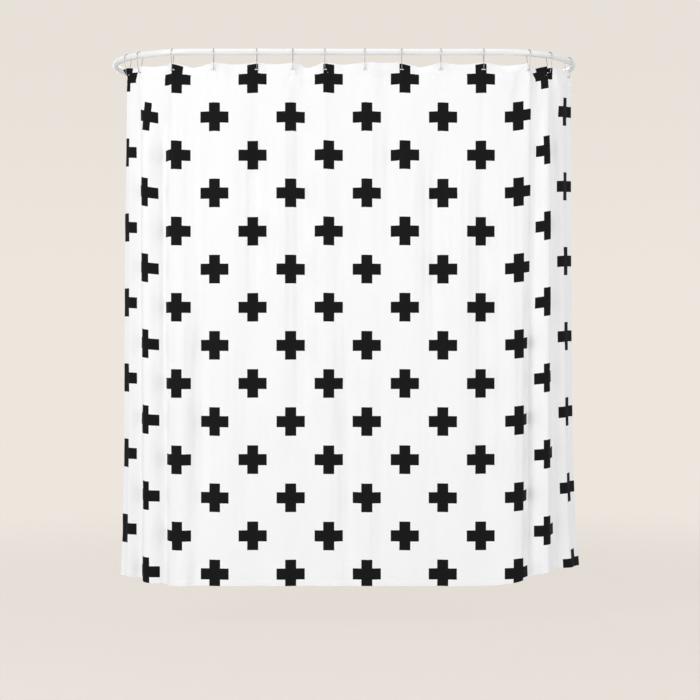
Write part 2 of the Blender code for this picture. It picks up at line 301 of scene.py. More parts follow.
RAGGED = 0.0006                      # how far the print's edge wanders
GHOST = 0.16                         # how much of the ink shows through on the reverse
THREADS = 2500                       # thread lines to a metre in the weave's uneven yarn


def plus_print_group():
    """Mask of two staggered rows of plus shapes, on UVs in metres from the cloth's top middle."""
    group, start, end = new_group(
        "plus_print",
        [("Cloth", "Vector", None), ("Across", "Float", 0.0), ("Down", "Float", 0.0),
         ("Repeat across", "Float", 0.27), ("Repeat down", "Float", 0.27),
         ("Half size", "Float", 0.049), ("Half bar", "Float", 0.018), ("Edge", "Float", 0.0003)],
        [("Mask", "Float")])
    split = group.nodes.new("ShaderNodeSeparateXYZ")
    group.links.new(start.outputs["Cloth"], split.inputs[0])
    edge = noise_node(group, start.outputs["Cloth"], 900, 1.0)
    ragged = math_node(group, "MULTIPLY", math_node(group, "SUBTRACT", edge, 0.5), RAGGED)

    def from_centre(value, origin, repeat, shift):
        turns = math_node(group, "DIVIDE", math_node(group, "SUBTRACT", value, origin), repeat)
        place = math_node(group, "FRACT", math_node(group, "ADD", turns, 0.5 + shift))
        away = math_node(group, "ABSOLUTE", math_node(group, "SUBTRACT", place, 0.5))
        return math_node(group, "MULTIPLY", away, repeat)

    def box_distance(across, down, half_across, half_down):
        return math_node(group, "MAXIMUM", math_node(group, "SUBTRACT", across, half_across),
                         math_node(group, "SUBTRACT", down, half_down))

    size, bar = start.outputs["Half size"], start.outputs["Half bar"]
    nearest = None
    for shift in (0.0, 0.5):
        across = from_centre(split.outputs[0], start.outputs["Across"],
                             start.outputs["Repeat across"], shift)
        down = from_centre(split.outputs[1], start.outputs["Down"], start.outputs["Repeat down"],
                           shift)
        for first, second in ((size, bar), (bar, size)):
            distance = box_distance(across, down, first, second)
            nearest = distance if nearest is None else math_node(group, "MINIMUM", nearest, distance)
    nearest = math_node(group, "ADD", nearest, ragged)
    mask = math_node(group, "DIVIDE", math_node(group, "SUBTRACT", start.outputs["Edge"], nearest),
                     math_node(group, "MULTIPLY", start.outputs["Edge"], 2.0), clamp=True)
    group.links.new(mask, end.inputs["Mask"])
    return group


def weave_group():
    """Plain weave on a cloth whose UVs are metres: a height, and how much thread shows."""
    group, start, end = new_group(
        "plain_weave", [("Cloth", "Vector", None), ("Thread", "Float", 0.0005)],
        [("Height", "Float"), ("Slub", "Float")])
    split = group.nodes.new("ShaderNodeSeparateXYZ")
    group.links.new(start.outputs["Cloth"], split.inputs[0])
    turns = math_node(group, "DIVIDE", math.pi, start.outputs["Thread"])
    warp = math_node(group, "SINE", math_node(group, "MULTIPLY", split.outputs[0], turns))
    weft = math_node(group, "SINE", math_node(group, "MULTIPLY", split.outputs[1], turns))
    height = math_node(group, "MULTIPLY", math_node(group, "MULTIPLY", warp, weft), 0.5)
    slub = math_node(group, "ADD", *(
        noise_node(group, scaled(group, start.outputs["Cloth"], stretch), 1.0, 2.0)
        for stretch in ((60, THREADS, 1), (THREADS, 60, 1))))
    group.links.new(math_node(group, "ADD", height, slub), end.inputs["Height"])
    group.links.new(math_node(group, "MULTIPLY", slub, 0.5), end.inputs["Slub"])
    return group


def crumple_group():
    """Soft creases left in cloth by folding and handling, on UVs in metres."""
    group, start, end = new_group("crumple", [("Cloth", "Vector", None)], [("Height", "Float")])
    broad = noise_node(group, scaled(group, start.outputs["Cloth"], (9, 3.5, 1)), 1.0, 4.0, 0.55,
                       0.8)
    ridge = math_node(group, "ABSOLUTE", math_node(group, "SUBTRACT", broad, 0.5))
    fine = noise_node(group, scaled(group, start.outputs["Cloth"], (45, 22, 1)), 1.0, 3.0, 0.5, 0.5)
    total = math_node(group, "ADD", math_node(group, "MULTIPLY", ridge, 1.4),
                      math_node(group, "MULTIPLY", fine, 0.22))
    group.links.new(total, end.inputs["Height"])
    return group


def grain_group():
    """Fine unevenness of paint or metal, in object coordinates: a height and a smudge mask."""
    group, start, end = new_group(
        "surface_grain", [("Place", "Vector", None), ("Scale", "Float", 300.0)],
        [("Height", "Float"), ("Smudge", "Float")])
    fine = group.nodes.new("ShaderNodeTexNoise")
    group.links.new(start.outputs["Place"], fine.inputs["Vector"])
    group.links.new(start.outputs["Scale"], fine.inputs["Scale"])
    fine.inputs["Detail"].default_value = 2.0
    group.links.new(fine.outputs["Fac"], end.inputs["Height"])
    smudge = noise_node(group, start.outputs["Place"], 22, 4.0, 0.6, 0.4)
    group.links.new(ramp(group, smudge, 0.42, 0.68, 0.0, 1.0, True), end.inputs["Smudge"])
    return group


GROUP_MAKERS = {"plus_print": plus_print_group, "plain_weave": weave_group,
                "crumple": crumple_group, "surface_grain": grain_group}


def place_group(tree, name, **values):
    """Places a shared node group in a material; it is built the first time it is asked for."""
    node = tree.nodes.new("ShaderNodeGroup")
    node.node_tree = bpy.data.node_groups.get(name) or GROUP_MAKERS[name]()
    for label, value in values.items():
        feed(tree, node.inputs[label.replace("_", " ")], value)
    return node


def new_material(name):
    """A material with its Principled shader; a finish is made once and then shared."""
    material = bpy.data.materials.new(name)
    material.use_nodes = True
    tree = material.node_tree
    return material, tree, tree.nodes["Principled BSDF"]


def coordinates(tree, kind):
    return tree.nodes.new("ShaderNodeTexCoord").outputs[kind]


def make_cloth_material(name, ink):
    """Woven polyester: the ink shows in full on the face and as a faint ghost on the reverse."""
    cloth = settings("curtain_looks")
    material, tree, shader = new_material(name)
    uv = coordinates(tree, "UV")
    weave = place_group(tree, "plain_weave", Cloth=uv)
    crumple = place_group(tree, "crumple", Cloth=uv)
    mottle = noise_node(tree, scaled(tree, uv, (3, 3, 1)), 1.0, 3.0)
    ground = mix_colour(tree, ramp(tree, mottle, 0.3, 0.7), cloth.cloth_colour,
                        [channel * 0.985 for channel in cloth.cloth_colour])
    thread = mix_colour(tree, ramp(tree, weave.outputs["Slub"], 0.35, 0.65, 0.0, 0.035), ground,
                        (0.55, 0.55, 0.55))
    inked = mix_colour(tree, ramp(tree, weave.outputs["Slub"], 0.3, 0.75, 0.0, 0.006),
                       cloth.print_colour, (0.6, 0.6, 0.6))
    mask = math_node(tree, "MULTIPLY", print_mask(tree, uv), ink)
    tree.links.new(mix_colour(tree, mask, thread, inked), shader.inputs["Base Color"])
    roughness = math_node(tree, "SUBTRACT", 0.86, math_node(tree, "MULTIPLY", mask, 0.12))
    tree.links.new(roughness, shader.inputs["Roughness"])
    fine = bump(tree, weave.outputs["Height"], 0.00006, 0.5)
    tree.links.new(bump(tree, crumple.outputs["Height"], 0.0022, 0.5, fine), shader.inputs["Normal"])
    shader.inputs["Specular IOR Level"].default_value = 0.12
    return material


def print_mask(tree, uv):
    """Where the print lies on the cloth, from 0 to 1."""
    cloth = settings("curtain_looks")
    return place_group(
        tree, "plus_print", Cloth=uv, Across=cloth.print_across, Down=cloth.print_down,
        Repeat_across=cloth.repeat_across, Repeat_down=cloth.repeat_down,
        Half_size=cloth.plus_size / 2, Half_bar=cloth.plus_bar / 2).outputs["Mask"]


def make_thread_material(name):
    """Twisted sewing thread, inked where the print was laid over the finished hems."""
    material, tree, shader = new_material(name)
    place = coordinates(tree, "Object")
    strand = noise_node(tree, scaled(tree, place, (1, 1, 0.4)), 2600, 2.0)
    thread = mix_colour(tree, ramp(tree, strand, 0.3, 0.7), (0.80, 0.80, 0.79),
                        (0.93, 0.93, 0.925))
    mask = print_mask(tree, coordinates(tree, "UV"))
    tree.links.new(mix_colour(tree, mask, thread, settings("curtain_looks").print_colour),
                   shader.inputs["Base Color"])
    tree.links.new(bump(tree, strand, 0.0001, 0.6), shader.inputs["Normal"])
    shader.inputs["Roughness"].default_value = 0.7
    shader.inputs["Specular IOR Level"].default_value = 0.2
    return material


def make_paint_material(name, colour):
    """Gloss paint on tube and castings: a faint ripple and dull handling marks."""
    material, tree, shader = new_material(name)
    place = coordinates(tree, "Object")
    grain = place_group(tree, "surface_grain", Place=place, Scale=420.0)
    tone = mix_colour(tree, math_node(tree, "MULTIPLY", grain.outputs["Smudge"], 0.25), colour,
                      [channel * 0.93 for channel in colour])
    tree.links.new(tone, shader.inputs["Base Color"])
    tree.links.new(ramp(tree, grain.outputs["Smudge"], 0, 1, 0.22, 0.36), shader.inputs["Roughness"])
    tree.links.new(bump(tree, grain.outputs["Height"], 0.00008, 0.35), shader.inputs["Normal"])
    shader.inputs["Coat Weight"].default_value = 0.35
    shader.inputs["Coat Roughness"].default_value = 0.08
    return material


def make_metal_material(name, colour, low, high, painted_dark_top=False):
    """Drawn or machined metal with fine lines and duller patches; on the hooks a painted dark reflection
    darkens the wire where it rises over the rail.
    """
    material, tree, shader = new_material(name)
    place = coordinates(tree, "Object")
    grain = place_group(tree, "surface_grain", Place=place, Scale=900.0)
    lines = noise_node(tree, scaled(tree, place, (1, 1, 0.08)), 1600, 2.0)
    tone = mix_colour(tree, grain.outputs["Smudge"], colour, [channel * 0.72 for channel in colour])
    if painted_dark_top:
        # Painted dark reflection: the wire's colour darkens towards the top of its loop, over the rail.
        split = tree.nodes.new("ShaderNodeSeparateXYZ")
        tree.links.new(place, split.inputs[0])
        dark_top_mask = ramp(tree, split.outputs[2], 0.004, TUBE_RADIUS, 0.0, 1.0, True)
        tone = mix_colour(tree, dark_top_mask, tone, [channel * 0.35 for channel in colour])
    tree.links.new(tone, shader.inputs["Base Color"])
    tree.links.new(ramp(tree, grain.outputs["Smudge"], 0, 1, low, high), shader.inputs["Roughness"])
    tree.links.new(bump(tree, lines, 0.00004, 0.4), shader.inputs["Normal"])
    shader.inputs["Metallic"].default_value = 1.0
    return material


def finish_of(name):
    """The object's finishes by name, each made once."""
    found = bpy.data.materials.get(name)
    if found:
        return found
    rail, hooks = settings("rail_looks"), settings("hook_looks")
    makers = {
        "printed_cloth": (make_cloth_material, 1.0),
        "cloth_reverse": (make_cloth_material, GHOST),
        "white_thread": (make_thread_material,),
        "rail_gloss_paint": (make_paint_material, rail.paint),
        # True gives the hooks the painted dark reflection over the rail.
        "hook_dark_chrome": (make_metal_material, hooks.colour, 0.12, 0.26, True),
        "screw_steel": (make_metal_material, rail.steel, 0.25, 0.42),
    }
    maker, *values = makers[name]
    return maker(name, *values)


# ---------------------------------------------------------------- modelling helpers

def deselect():
    """Object mode with nothing selected."""
    if bpy.context.mode != "OBJECT":
        bpy.ops.object.mode_set(mode="OBJECT")
    bpy.ops.object.select_all(action="DESELECT")


def only(obj):
    """Makes an object the only selected one, and the active one."""
    deselect()
    obj.select_set(True)
    bpy.context.view_layer.objects.active = obj
    return obj


def apply_modifiers(obj):
    only(obj)
    for modifier in list(obj.modifiers):
        bpy.ops.object.modifier_apply(modifier=modifier.name)


def solidify(obj, thickness, offset=-1.0):
    """Adds a wall to an open surface; returns the modifier."""
    modifier = obj.modifiers.new("wall", "SOLIDIFY")
    modifier.thickness = thickness
    modifier.offset = offset
    return modifier


def round_edges(obj, width, segments=3, angle=40):
    modifier = obj.modifiers.new("rounding", "BEVEL")
    modifier.width = width
    modifier.segments = segments
    modifier.limit_method = "ANGLE"
    modifier.angle_limit = math.radians(angle)
    modifier.harden_normals = False


def dress(obj, name, finish, slot, body, *nodes, angle=35):
    """Names a finished piece, gives it its finish, shading and body, and hides the CAD nodes it stands
    for.
    """
    only(obj)
    bpy.ops.object.transform_apply(location=True, rotation=True, scale=True)
    bpy.ops.object.shade_smooth_by_angle(angle=math.radians(angle))
    obj.name = name
    obj.data.name = name
    obj.data.materials.clear()
    obj.data.materials.append(finish_of(finish))
    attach(obj, body)
    if nodes:
        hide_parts(*nodes)
    return obj


def start_circle(place, facing, radius, sides, fill):
    """A circle across its facing direction, open in edit mode with all of it selected."""
    deselect()
    bpy.ops.mesh.primitive_circle_add(vertices=sides, radius=radius, fill_type=fill,
                                      location=place,
                                      rotation=facing.to_track_quat("Z", "Y").to_euler())
    obj = bpy.context.object
    bpy.ops.object.transform_apply(location=True, rotation=True, scale=True)
    bpy.ops.object.mode_set(mode="EDIT")
    bpy.ops.mesh.select_all(action="SELECT")
    return obj


def swept_wire(start, heading, radius, sides, moves):
    """Sweeps a circle from start: moves are ("go", distance) or ("turn", centre, axis, degrees, steps)."""
    heading = heading.normalized()
    obj = start_circle(start, heading, radius, sides, "NOTHING")
    for kind, *values in moves:
        if kind == "go":
            step = heading * values[0]
            bpy.ops.mesh.extrude_region_move(TRANSFORM_OT_translate={"value": step})
            continue
        centre, axis, degrees, steps = values
        angle = math.radians(degrees)
        bpy.ops.mesh.spin(steps=steps, angle=-angle, center=centre, axis=axis)
        heading = Quaternion(axis, angle) @ heading
    close_edit()
    return obj


def close_edit():
    """Merges doubled points, points the faces outwards and leaves edit mode."""
    bpy.ops.mesh.select_all(action="SELECT")
    bpy.ops.mesh.remove_doubles(threshold=0.00001)
    bpy.ops.mesh.normals_make_consistent(inside=False)
    bpy.ops.object.mode_set(mode="OBJECT")


def turned_piece(centre, direction, rings, sides=48):
    """A closed turned solid: rings are (radius, height) along direction, from end to end."""
    direction = Vector(direction).normalized()
    radius, height = rings[0]
    obj = start_circle(centre + direction * height, direction, radius, sides, "NGON")
    for wide, high in rings[1:]:
        bpy.ops.mesh.extrude_region_move(
            TRANSFORM_OT_translate={"value": direction * (high - height)})
        share = wide / radius
        bpy.ops.transform.resize(value=(share, share, share),
                                 center_override=centre + direction * high)
        radius, height = wide, high
    close_edit()
    return obj


def cut_with(obj, tool, operation="DIFFERENCE"):
    """Applies a Boolean with the tool, then removes the tool."""
    modifier = obj.modifiers.new("cut", "BOOLEAN")
    modifier.operation = operation
    modifier.object = tool
    modifier.solver = "EXACT"
    only(obj)
    bpy.ops.object.modifier_apply(modifier=modifier.name)
    bpy.data.objects.remove(tool, do_unlink=True)


# ---------------------------------------------------------------- rails and brackets

TUBE_SIDES = 40
BEND_STEPS = 72
JOINT_GAP = 0.0003                   # between the two tubes, and round the tube in its clamp
LIP = 0.00025                        # rounding of a cut tube's edges
BOSS_RADIUS = 0.0135                 # of the sockets on clamp and flange
SOCKET_RADIUS = 0.0099               # of the arm's hole in them
CLAMP_RADIUS = 0.016
ARM_WALL = 0.0012
UP = Vector((0, 0, 1))


def hollow(obj, wall):
    """Gives an open tube its wall and rounds the edges of its ends."""
    solidify(obj, wall)
    round_edges(obj, LIP, 2, 60)
    apply_modifiers(obj)
    return obj


def make_rails():
    """The front rail with both bends, and the back rail between its ends."""
    wall = settings("rail_looks").wall
    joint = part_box("back_rail")[1].x
    run = BEND_X - joint - JOINT_GAP
    start = Vector((-joint - JOINT_GAP, BACK_Y, 0))
    left, right = Vector((-BEND_X, RING_Y, 0)), Vector((BEND_X, RING_Y, 0))
    moves = [("go", run), ("turn", left, UP, 180, BEND_STEPS), ("go", 2 * BEND_X),
             ("turn", right, UP, 180, BEND_STEPS), ("go", run)]
    front = hollow(swept_wire(start, Vector((-1, 0, 0)), TUBE_RADIUS, TUBE_SIDES, moves), wall)
    dress(front, "oval_rail_front", "rail_gloss_paint", "rail_paint", "rail", "front_rail")
    back = hollow(swept_wire(Vector((-joint, BACK_Y, 0)), Vector((1, 0, 0)), TUBE_RADIUS,
                             TUBE_SIDES, [("go", 2 * joint)]), wall)
    dress(back, "oval_rail_back", "rail_gloss_paint", "rail_paint", "rail", "back_rail")


def make_flange(name):
    """The wall plate: a turned disc and boss with a socket, drilled for its screws."""
    low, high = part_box("wall_flange_" + name)
    centre = Vector(((low.x + high.x) / 2, high.y, 0))
    radius, depth, boss, socket = (high.x - low.x) / 2, high.y - low.y, BOSS_RADIUS, SOCKET_RADIUS
    rings = [(radius - 0.0006, 0), (radius, 0.0006), (radius, 0.0030), (radius - 0.0008, 0.0043),
             (radius - 0.0026, 0.0050), (boss + 0.0040, 0.0050), (boss + 0.0016, 0.0056),
             (boss + 0.0004, 0.0070), (boss, 0.0090), (boss, depth - 0.0012),
             (boss - 0.0004, depth - 0.0004), (boss - 0.0012, depth), (socket + 0.0005, depth),
             (socket, depth - 0.0006), (socket, 0.0035)]
    flange = turned_piece(centre, (0, -1, 0), rings, 64)
    for number in (1, 2, 3):
        screw_low, screw_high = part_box(f"wall_screw_{name}_{number}")
        spot = Vector(((screw_low.x + screw_high.x) / 2, -0.003, (screw_low.z + screw_high.z) / 2))
        tool = turned_piece(spot, (0, -1, 0), [(0.0024, -0.02), (0.0024, 0.02)], 24)
        cut_with(flange, tool)
    dress(flange, f"{name}_wall_flange", "rail_gloss_paint", "rail_paint", "rail",
          "wall_flange_" + name)


def make_clamp(name):
    """The collar round the back rail with its socket for the arm."""
    low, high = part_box("rail_clamp_" + name)
    centre = Vector(((low.x + high.x) / 2, BACK_Y, 0))
    half, reach, radius = (high.x - low.x) / 2, high.y - BACK_Y, CLAMP_RADIUS
    collar = [(radius - 0.0014, -half), (radius - 0.0004, -half + 0.0005), (radius, -half + 0.0016),
              (radius, half - 0.0016), (radius - 0.0004, half - 0.0005), (radius - 0.0014, half)]
    clamp = turned_piece(centre, (1, 0, 0), collar, 64)
    boss = [(BOSS_RADIUS, 0.004), (BOSS_RADIUS, reach - 0.0014),
            (BOSS_RADIUS - 0.0004, reach - 0.0004), (BOSS_RADIUS - 0.0014, reach)]
    cut_with(clamp, turned_piece(centre, (0, 1, 0), boss, 64), "UNION")
    bore = [(TUBE_RADIUS + JOINT_GAP, -0.03), (TUBE_RADIUS + JOINT_GAP, 0.03)]
    cut_with(clamp, turned_piece(centre, (1, 0, 0), bore, 64))
    socket = [(SOCKET_RADIUS, 0.0145), (SOCKET_RADIUS, 0.06)]
    cut_with(clamp, turned_piece(centre, (0, 1, 0), socket, 64))
    dress(clamp, f"{name}_rail_clamp", "rail_gloss_paint", "rail_paint", "rail",
          "rail_clamp_" + name, angle=50)


def make_arm(name):
    """The tube from a clamp to its wall flange."""
    low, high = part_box("wall_arm_" + name)
    x = (low.x + high.x) / 2
    arm = swept_wire(Vector((x, low.y, 0)), Vector((0, 1, 0)), (high.x - low.x) / 2, 36,
                     [("go", high.y - low.y)])
    hollow(arm, ARM_WALL)
    dress(arm, f"{name}_wall_arm", "rail_gloss_paint", "rail_paint", "rail", "wall_arm_" + name)


# ---------------------------------------------------------------- screws

SHANK = 0.0019                       # radius of the joint and grub screws
CROSS = (2, 0.36, 1.1)               # a recess's length, width and height, by its half length


def cross_recess(obj, top, direction, size):
    """Sinks a cross into a screw's head."""
    across = UP if abs(direction.z) < 0.5 else Vector((1, 0, 0))
    other = direction.cross(across)
    for first, second in ((across, other), (other, across)):
        deselect()
        bpy.ops.mesh.primitive_cube_add(size=1, location=top)
        tool = bpy.context.object
        scale = [abs(first[i]) * size * CROSS[0] + abs(second[i]) * size * CROSS[1]
                 + abs(direction[i]) * size * CROSS[2] for i in range(3)]
        bpy.ops.transform.resize(value=scale)
        bpy.ops.object.transform_apply(location=True, rotation=True, scale=True)
        cut_with(obj, tool)


def threaded(radius, low, high, pitch=0.0014):
    """Rings of a screw's shank from low to high, ridged as a thread is."""
    count = int((high - low) / pitch)
    rings = []
    for turn in range(count):
        base = low + turn * pitch
        rings += [(radius * 0.76, base), (radius * 0.76, base + pitch * 0.45),
                  (radius, base + pitch * 0.7)]
    return rings


def make_wall_screw(node):
    """A pan-head screw into the wall, its thread ridged and its tip pointed."""
    low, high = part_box(node)
    centre = Vector(((low.x + high.x) / 2, 0, (low.z + high.z) / 2))
    out, head, tip = -low.y, (high.x - low.x) / 2, -high.y
    rings = [(0.0003, tip)] + threaded(0.002, tip + 0.004, -0.001) + [
        (0.0016, -0.0005), (0.0016, out - 0.0027), (head - 0.0003, out - 0.0027),
        (head, out - 0.0024), (head, out - 0.0016), (head * 0.9, out - 0.0008),
        (head * 0.68, out - 0.0002), (head * 0.4, out)]
    screw = turned_piece(centre, (0, -1, 0), rings, 32)
    cross_recess(screw, centre + Vector((0, -out, 0)), Vector((0, -1, 0)), head * 0.52)
    dress(screw, node.replace("wall_screw", "pan_head_screw"), "screw_steel", "fixing_steel", "rail",
          node)


def make_joint_screw(node):
    """A small pan-head screw up through a tube into its spigot."""
    low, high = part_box(node)
    centre = Vector(((low.x + high.x) / 2, (low.y + high.y) / 2, 0))
    head = (high.x - low.x) / 2
    rings = [(0.0015, high.z), (SHANK, high.z - 0.0005), (SHANK, low.z + 0.0021),
             (head - 0.0002, low.z + 0.0021), (head, low.z + 0.0018), (head, low.z + 0.0011),
             (head * 0.82, low.z + 0.0003), (head * 0.55, low.z)]
    screw = turned_piece(centre, (0, 0, 1), rings, 32)
    cross_recess(screw, centre + UP * low.z, UP, head * 0.5)
    dress(screw, node.replace("joint_screw", "rail_joint_screw"), "screw_steel", "fixing_steel",
          "rail", node)


def make_grub_screw(node):
    """A headless screw with a socket in its lower end."""
    low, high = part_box(node)
    centre = Vector(((low.x + high.x) / 2, (low.y + high.y) / 2, 0))
    rings = [(0.0013, high.z), (SHANK, high.z - 0.0006), (SHANK, low.z + 0.0003),
             (0.0017, low.z), (0.0010, low.z), (0.0010, low.z + 0.0016)]
    screw = turned_piece(centre, (0, 0, 1), rings, 24)
    dress(screw, node.replace("_screw_", "_grub_screw_"), "screw_steel", "fixing_steel", "rail", node)


# ---------------------------------------------------------------- hooks

WIRE_GAP = 0.0003                    # between a hook's wire and the top of the rail
MOUTH = 0.0016                       # from the middle of a loop's opening to each tip
TIP_RADIUS = 0.00125                 # of the ball on each tip


def make_first_hook():
    """One open pear-shaped loop of wire across the rail's front run, with rounded tips."""
    looks = settings("hook_looks")
    top = TUBE_RADIUS + looks.wire + WIRE_GAP - looks.top_radius
    foot = HOOK_FOOT + looks.wire + looks.foot_radius
    lean = math.asin((looks.top_radius - looks.foot_radius) / (top - foot))
    leg = (top - foot) * math.cos(lean)
    axis = Vector((1, 0, 0))
    inner = Vector((0, math.cos(lean), -math.sin(lean)))
    middle = Vector((0, FRONT_Y, (top + foot) / 2)) + inner * (
        looks.top_radius + looks.foot_radius) / 2
    heading = Vector((0, math.sin(lean), math.cos(lean)))
    moves = [("go", leg / 2 - MOUTH),
             ("turn", Vector((0, FRONT_Y, top)), axis, 180 + 2 * math.degrees(lean), 30),
             ("go", leg),
             ("turn", Vector((0, FRONT_Y, foot)), axis, 180 - 2 * math.degrees(lean), 22),
             ("go", leg / 2 - MOUTH)]
    tips = [middle + heading * MOUTH, middle - heading * MOUTH]
    hook = swept_wire(tips[0], heading, looks.wire, 12, moves)
    parts = [hook]
    for tip in tips:
        deselect()
        bpy.ops.mesh.primitive_uv_sphere_add(segments=16, ring_count=10, radius=TIP_RADIUS,
                                             location=tip)
        parts.append(bpy.context.object)
    deselect()
    for part in parts:
        part.select_set(True)
    bpy.context.view_layer.objects.active = hook
    bpy.ops.object.join()
    only(hook)
    return hook


def make_hooks():
    """A copy of the first hook at each hook's place, turned to face out from the rail."""
    pattern = make_first_hook()
    for node, along in zip(HOOK_NODES, HOOKS_ALONG):
        point, _, turn = rail_frame(along)
        copy = pattern.copy()
        copy.data = pattern.data.copy()
        bpy.context.scene.collection.objects.link(copy)
        place = (Matrix.Translation(point) @ Matrix.Rotation(turn, 4, "Z")
                 @ Matrix.Translation((0, -FRONT_Y, 0)))
        copy.matrix_world = place
        dress(copy, "wire_" + node, "hook_dark_chrome", "hook_wire", node, node, angle=60)
    bpy.data.objects.remove(pattern, do_unlink=True)


# ---------------------------------------------------------------- cloth: the hung sheet

EDGE_PAST_HOOK = (0.022, 0.015)      # cloth beyond the first and the last hook, along the rail
LEFT_HALF = 0.8853                   # cut cloth left of the rail's middle
EASY = (-0.642, 0.660)               # between these places the cloth hangs nearly flat
EASE = 1.015                         # cloth per length of rail there
# Beyond them it is pleated: places along the rail, each with the place on the cloth that hangs there.
END_PLACES = ((-0.7614, -0.8162), (-0.699, -0.731), (0.7225, 0.7579), (0.838, 0.8933))
BUTTONHOLE_DOWN = 0.0200             # from the top edge to the top of each buttonhole
BUTTONHOLE_Z = HOOK_FOOT + 0.0025    # where the top of a buttonhole rests on its hook
SEAM_IN = 0.002                      # from a hem's inner edge out to its stitching
HEAD_DOWN = 0.056                    # the finely divided head of the cloth ends here
FOOT_UP = 0.012                      # and its foot starts this far above the hem's seam

# Valleys of the folds: the place along the rail, and from where to where down the cloth each is deep.
FOLDS = (
    (-0.960, 0.0, 1.9), (-0.860, 0.0, 1.9), (-0.752, 0.0, 1.9), (-0.649, 0.0, 1.9),
    (-0.500, 1.0, 1.4), (-0.310, 0.30, 0.72), (-0.140, 0.08, 1.1), (0.020, 1.1, 1.6),
    (0.155, 0.06, 0.42), (0.315, 0.45, 0.80), (0.500, 0.50, 1.35), (0.677, 1.0, 1.7),
    (0.771, 0.0, 1.9), (0.880, 0.0, 1.9))
WIDEST_FOLD = 0.2                    # a wider fold is no deeper than one of this width
FOLD_STRENGTH = (0.3, 1.1)           # of any fold, and what its deep stretch adds
HEAD_SWELL = 0.25                    # the head's waves between hooks, by their width
HEAD_SAG = (0.07, 0.011)             # of the top edge: its share of a gap, and the most it is
SAG_FADES = 0.35                     # down the cloth
PLEATED = (0.64, 0.72)               # between these distances from the middle the end pleats start
HUNG_FROM = (0.02, 0.34)             # down the cloth, where the head's shape gives way to the folds
DEEPENED = 0.007                     # how much the deep stretches stand out after settling
DEEPENED_TO = (0.60, 0.70)           # and between which distances from the middle that ends
LEVELLED = 0.75                      # share of the header's sag that is taken out after settling
HEADER_LEANS = (15, 15, 38, 18, 18, 38, 18, -12, 36, 20, 22, 34, 12)   # degrees, between hooks
LEAN_LINE = 0.050                    # how far down the header starts to lean
RISES = ((0.020, 0.62, 0.87), (0.049, 0.50, 0.85))   # left and right: the hem's rise, across where
LIFTS = ((0.013, 0.009, 0.62, 0.87), (0.020, 0.021, 0.52, 0.93))   # the print's: foot, top, where
SPREADS = ((0.80, 0.885), (0.74, 0.94))   # across where the lower corners draw in or spread
CELL = 0.0145                        # grid of the simulated sheet
HANG_FRAMES = 40
CLOTH_VALUES = {"quality": 6, "mass": 0.04, "tension_stiffness": 60, "compression_stiffness": 60,
                "shear_stiffness": 20, "bending_stiffness": 0.05, "tension_damping": 10,
                "shear_damping": 8, "bending_damping": 0.5, "air_damping": 3}


def flat_and_hung():
    """Matching places across the flat cloth and along the rail, from its left edge to its right."""
    left, right = HOOKS_ALONG[0] - EDGE_PAST_HOOK[0], HOOKS_ALONG[-1] + EDGE_PAST_HOOK[1]
    width = settings("curtain_looks").flat_width
    pairs = [(left, -LEFT_HALF), *END_PLACES[:2], *((place, place * EASE) for place in EASY),
             *END_PLACES[2:], (right, width - LEFT_HALF)]
    return [flat for _, flat in pairs], [hung for hung, _ in pairs]


def seam_places():
    """How far down the header's and bottom hem's seams lie, and how far in the side hems' do."""
    looks = settings("curtain_looks")
    return (looks.header_depth - SEAM_IN, looks.flat_drop - looks.hem_depth + SEAM_IN,
            looks.side_depth - SEAM_IN)


def divided(knots, cell):
    """Values from the first knot to the last, through every knot, at most a cell apart."""
    values = [knots[0]]
    for start, end in zip(knots, knots[1:]):
        count = max(1, math.ceil((end - start) / cell - 0.01))
        values += [start + (end - start) * i / count for i in range(1, count + 1)]
    return np.array(values)


def rail_arrays(along):
    """Rail points and outward directions for an array of places along it."""
    straight = np.clip(along, -BEND_X, BEND_X)
    turn = (along - straight) / BEND_RADIUS
    outward = np.stack([np.sin(turn), -np.cos(turn), np.zeros_like(turn)], axis=-1)
    centre = np.stack([straight, np.full_like(straight, RING_Y), np.zeros_like(turn)], axis=-1)
    return centre + outward * BEND_RADIUS, outward


def smooth_step(low, high, value):
    """Goes smoothly from 0 at low to 1 at high."""
    t = np.clip((value - low) / (high - low), 0, 1)
    return t * t * (3 - 2 * t)


def grid_faces(rows, columns, turned=False):
    """The four corners of each cell of a grid of points."""
    index = np.arange(rows * columns).reshape(rows, columns)
    faces = np.stack([index[:-1, :-1], index[1:, :-1], index[1:, 1:], index[:-1, 1:]], axis=-1)
    return faces[..., ::-1] if turned else faces


def hook_gaps(along):
    """Each place's gap between hooks: its number, its two hooks, and how far across it the place is."""
    hooks = np.array(HOOKS_ALONG)
    gap = np.clip(np.searchsorted(hooks, along) - 1, 0, len(hooks) - 2)
    first, last = hooks[gap], hooks[gap + 1]
    return gap, first, last, np.clip((along - first) / (last - first), 0, 1)


def fold_places(along, down):
    """How many folds lie before each place, and how deep each stretch of fold is, from 0 to 1."""
    valleys = [place for place, _, _ in FOLDS]
    count = np.interp(along, valleys, range(len(FOLDS)))
    windows = np.stack([smooth_step(low - 0.25, low + 0.05, down)
                        * (1 - smooth_step(high - 0.05, high + 0.3, down))
                        for _, low, high in FOLDS], axis=1)
    return count, np.stack([np.interp(along, valleys, row) for row in windows])


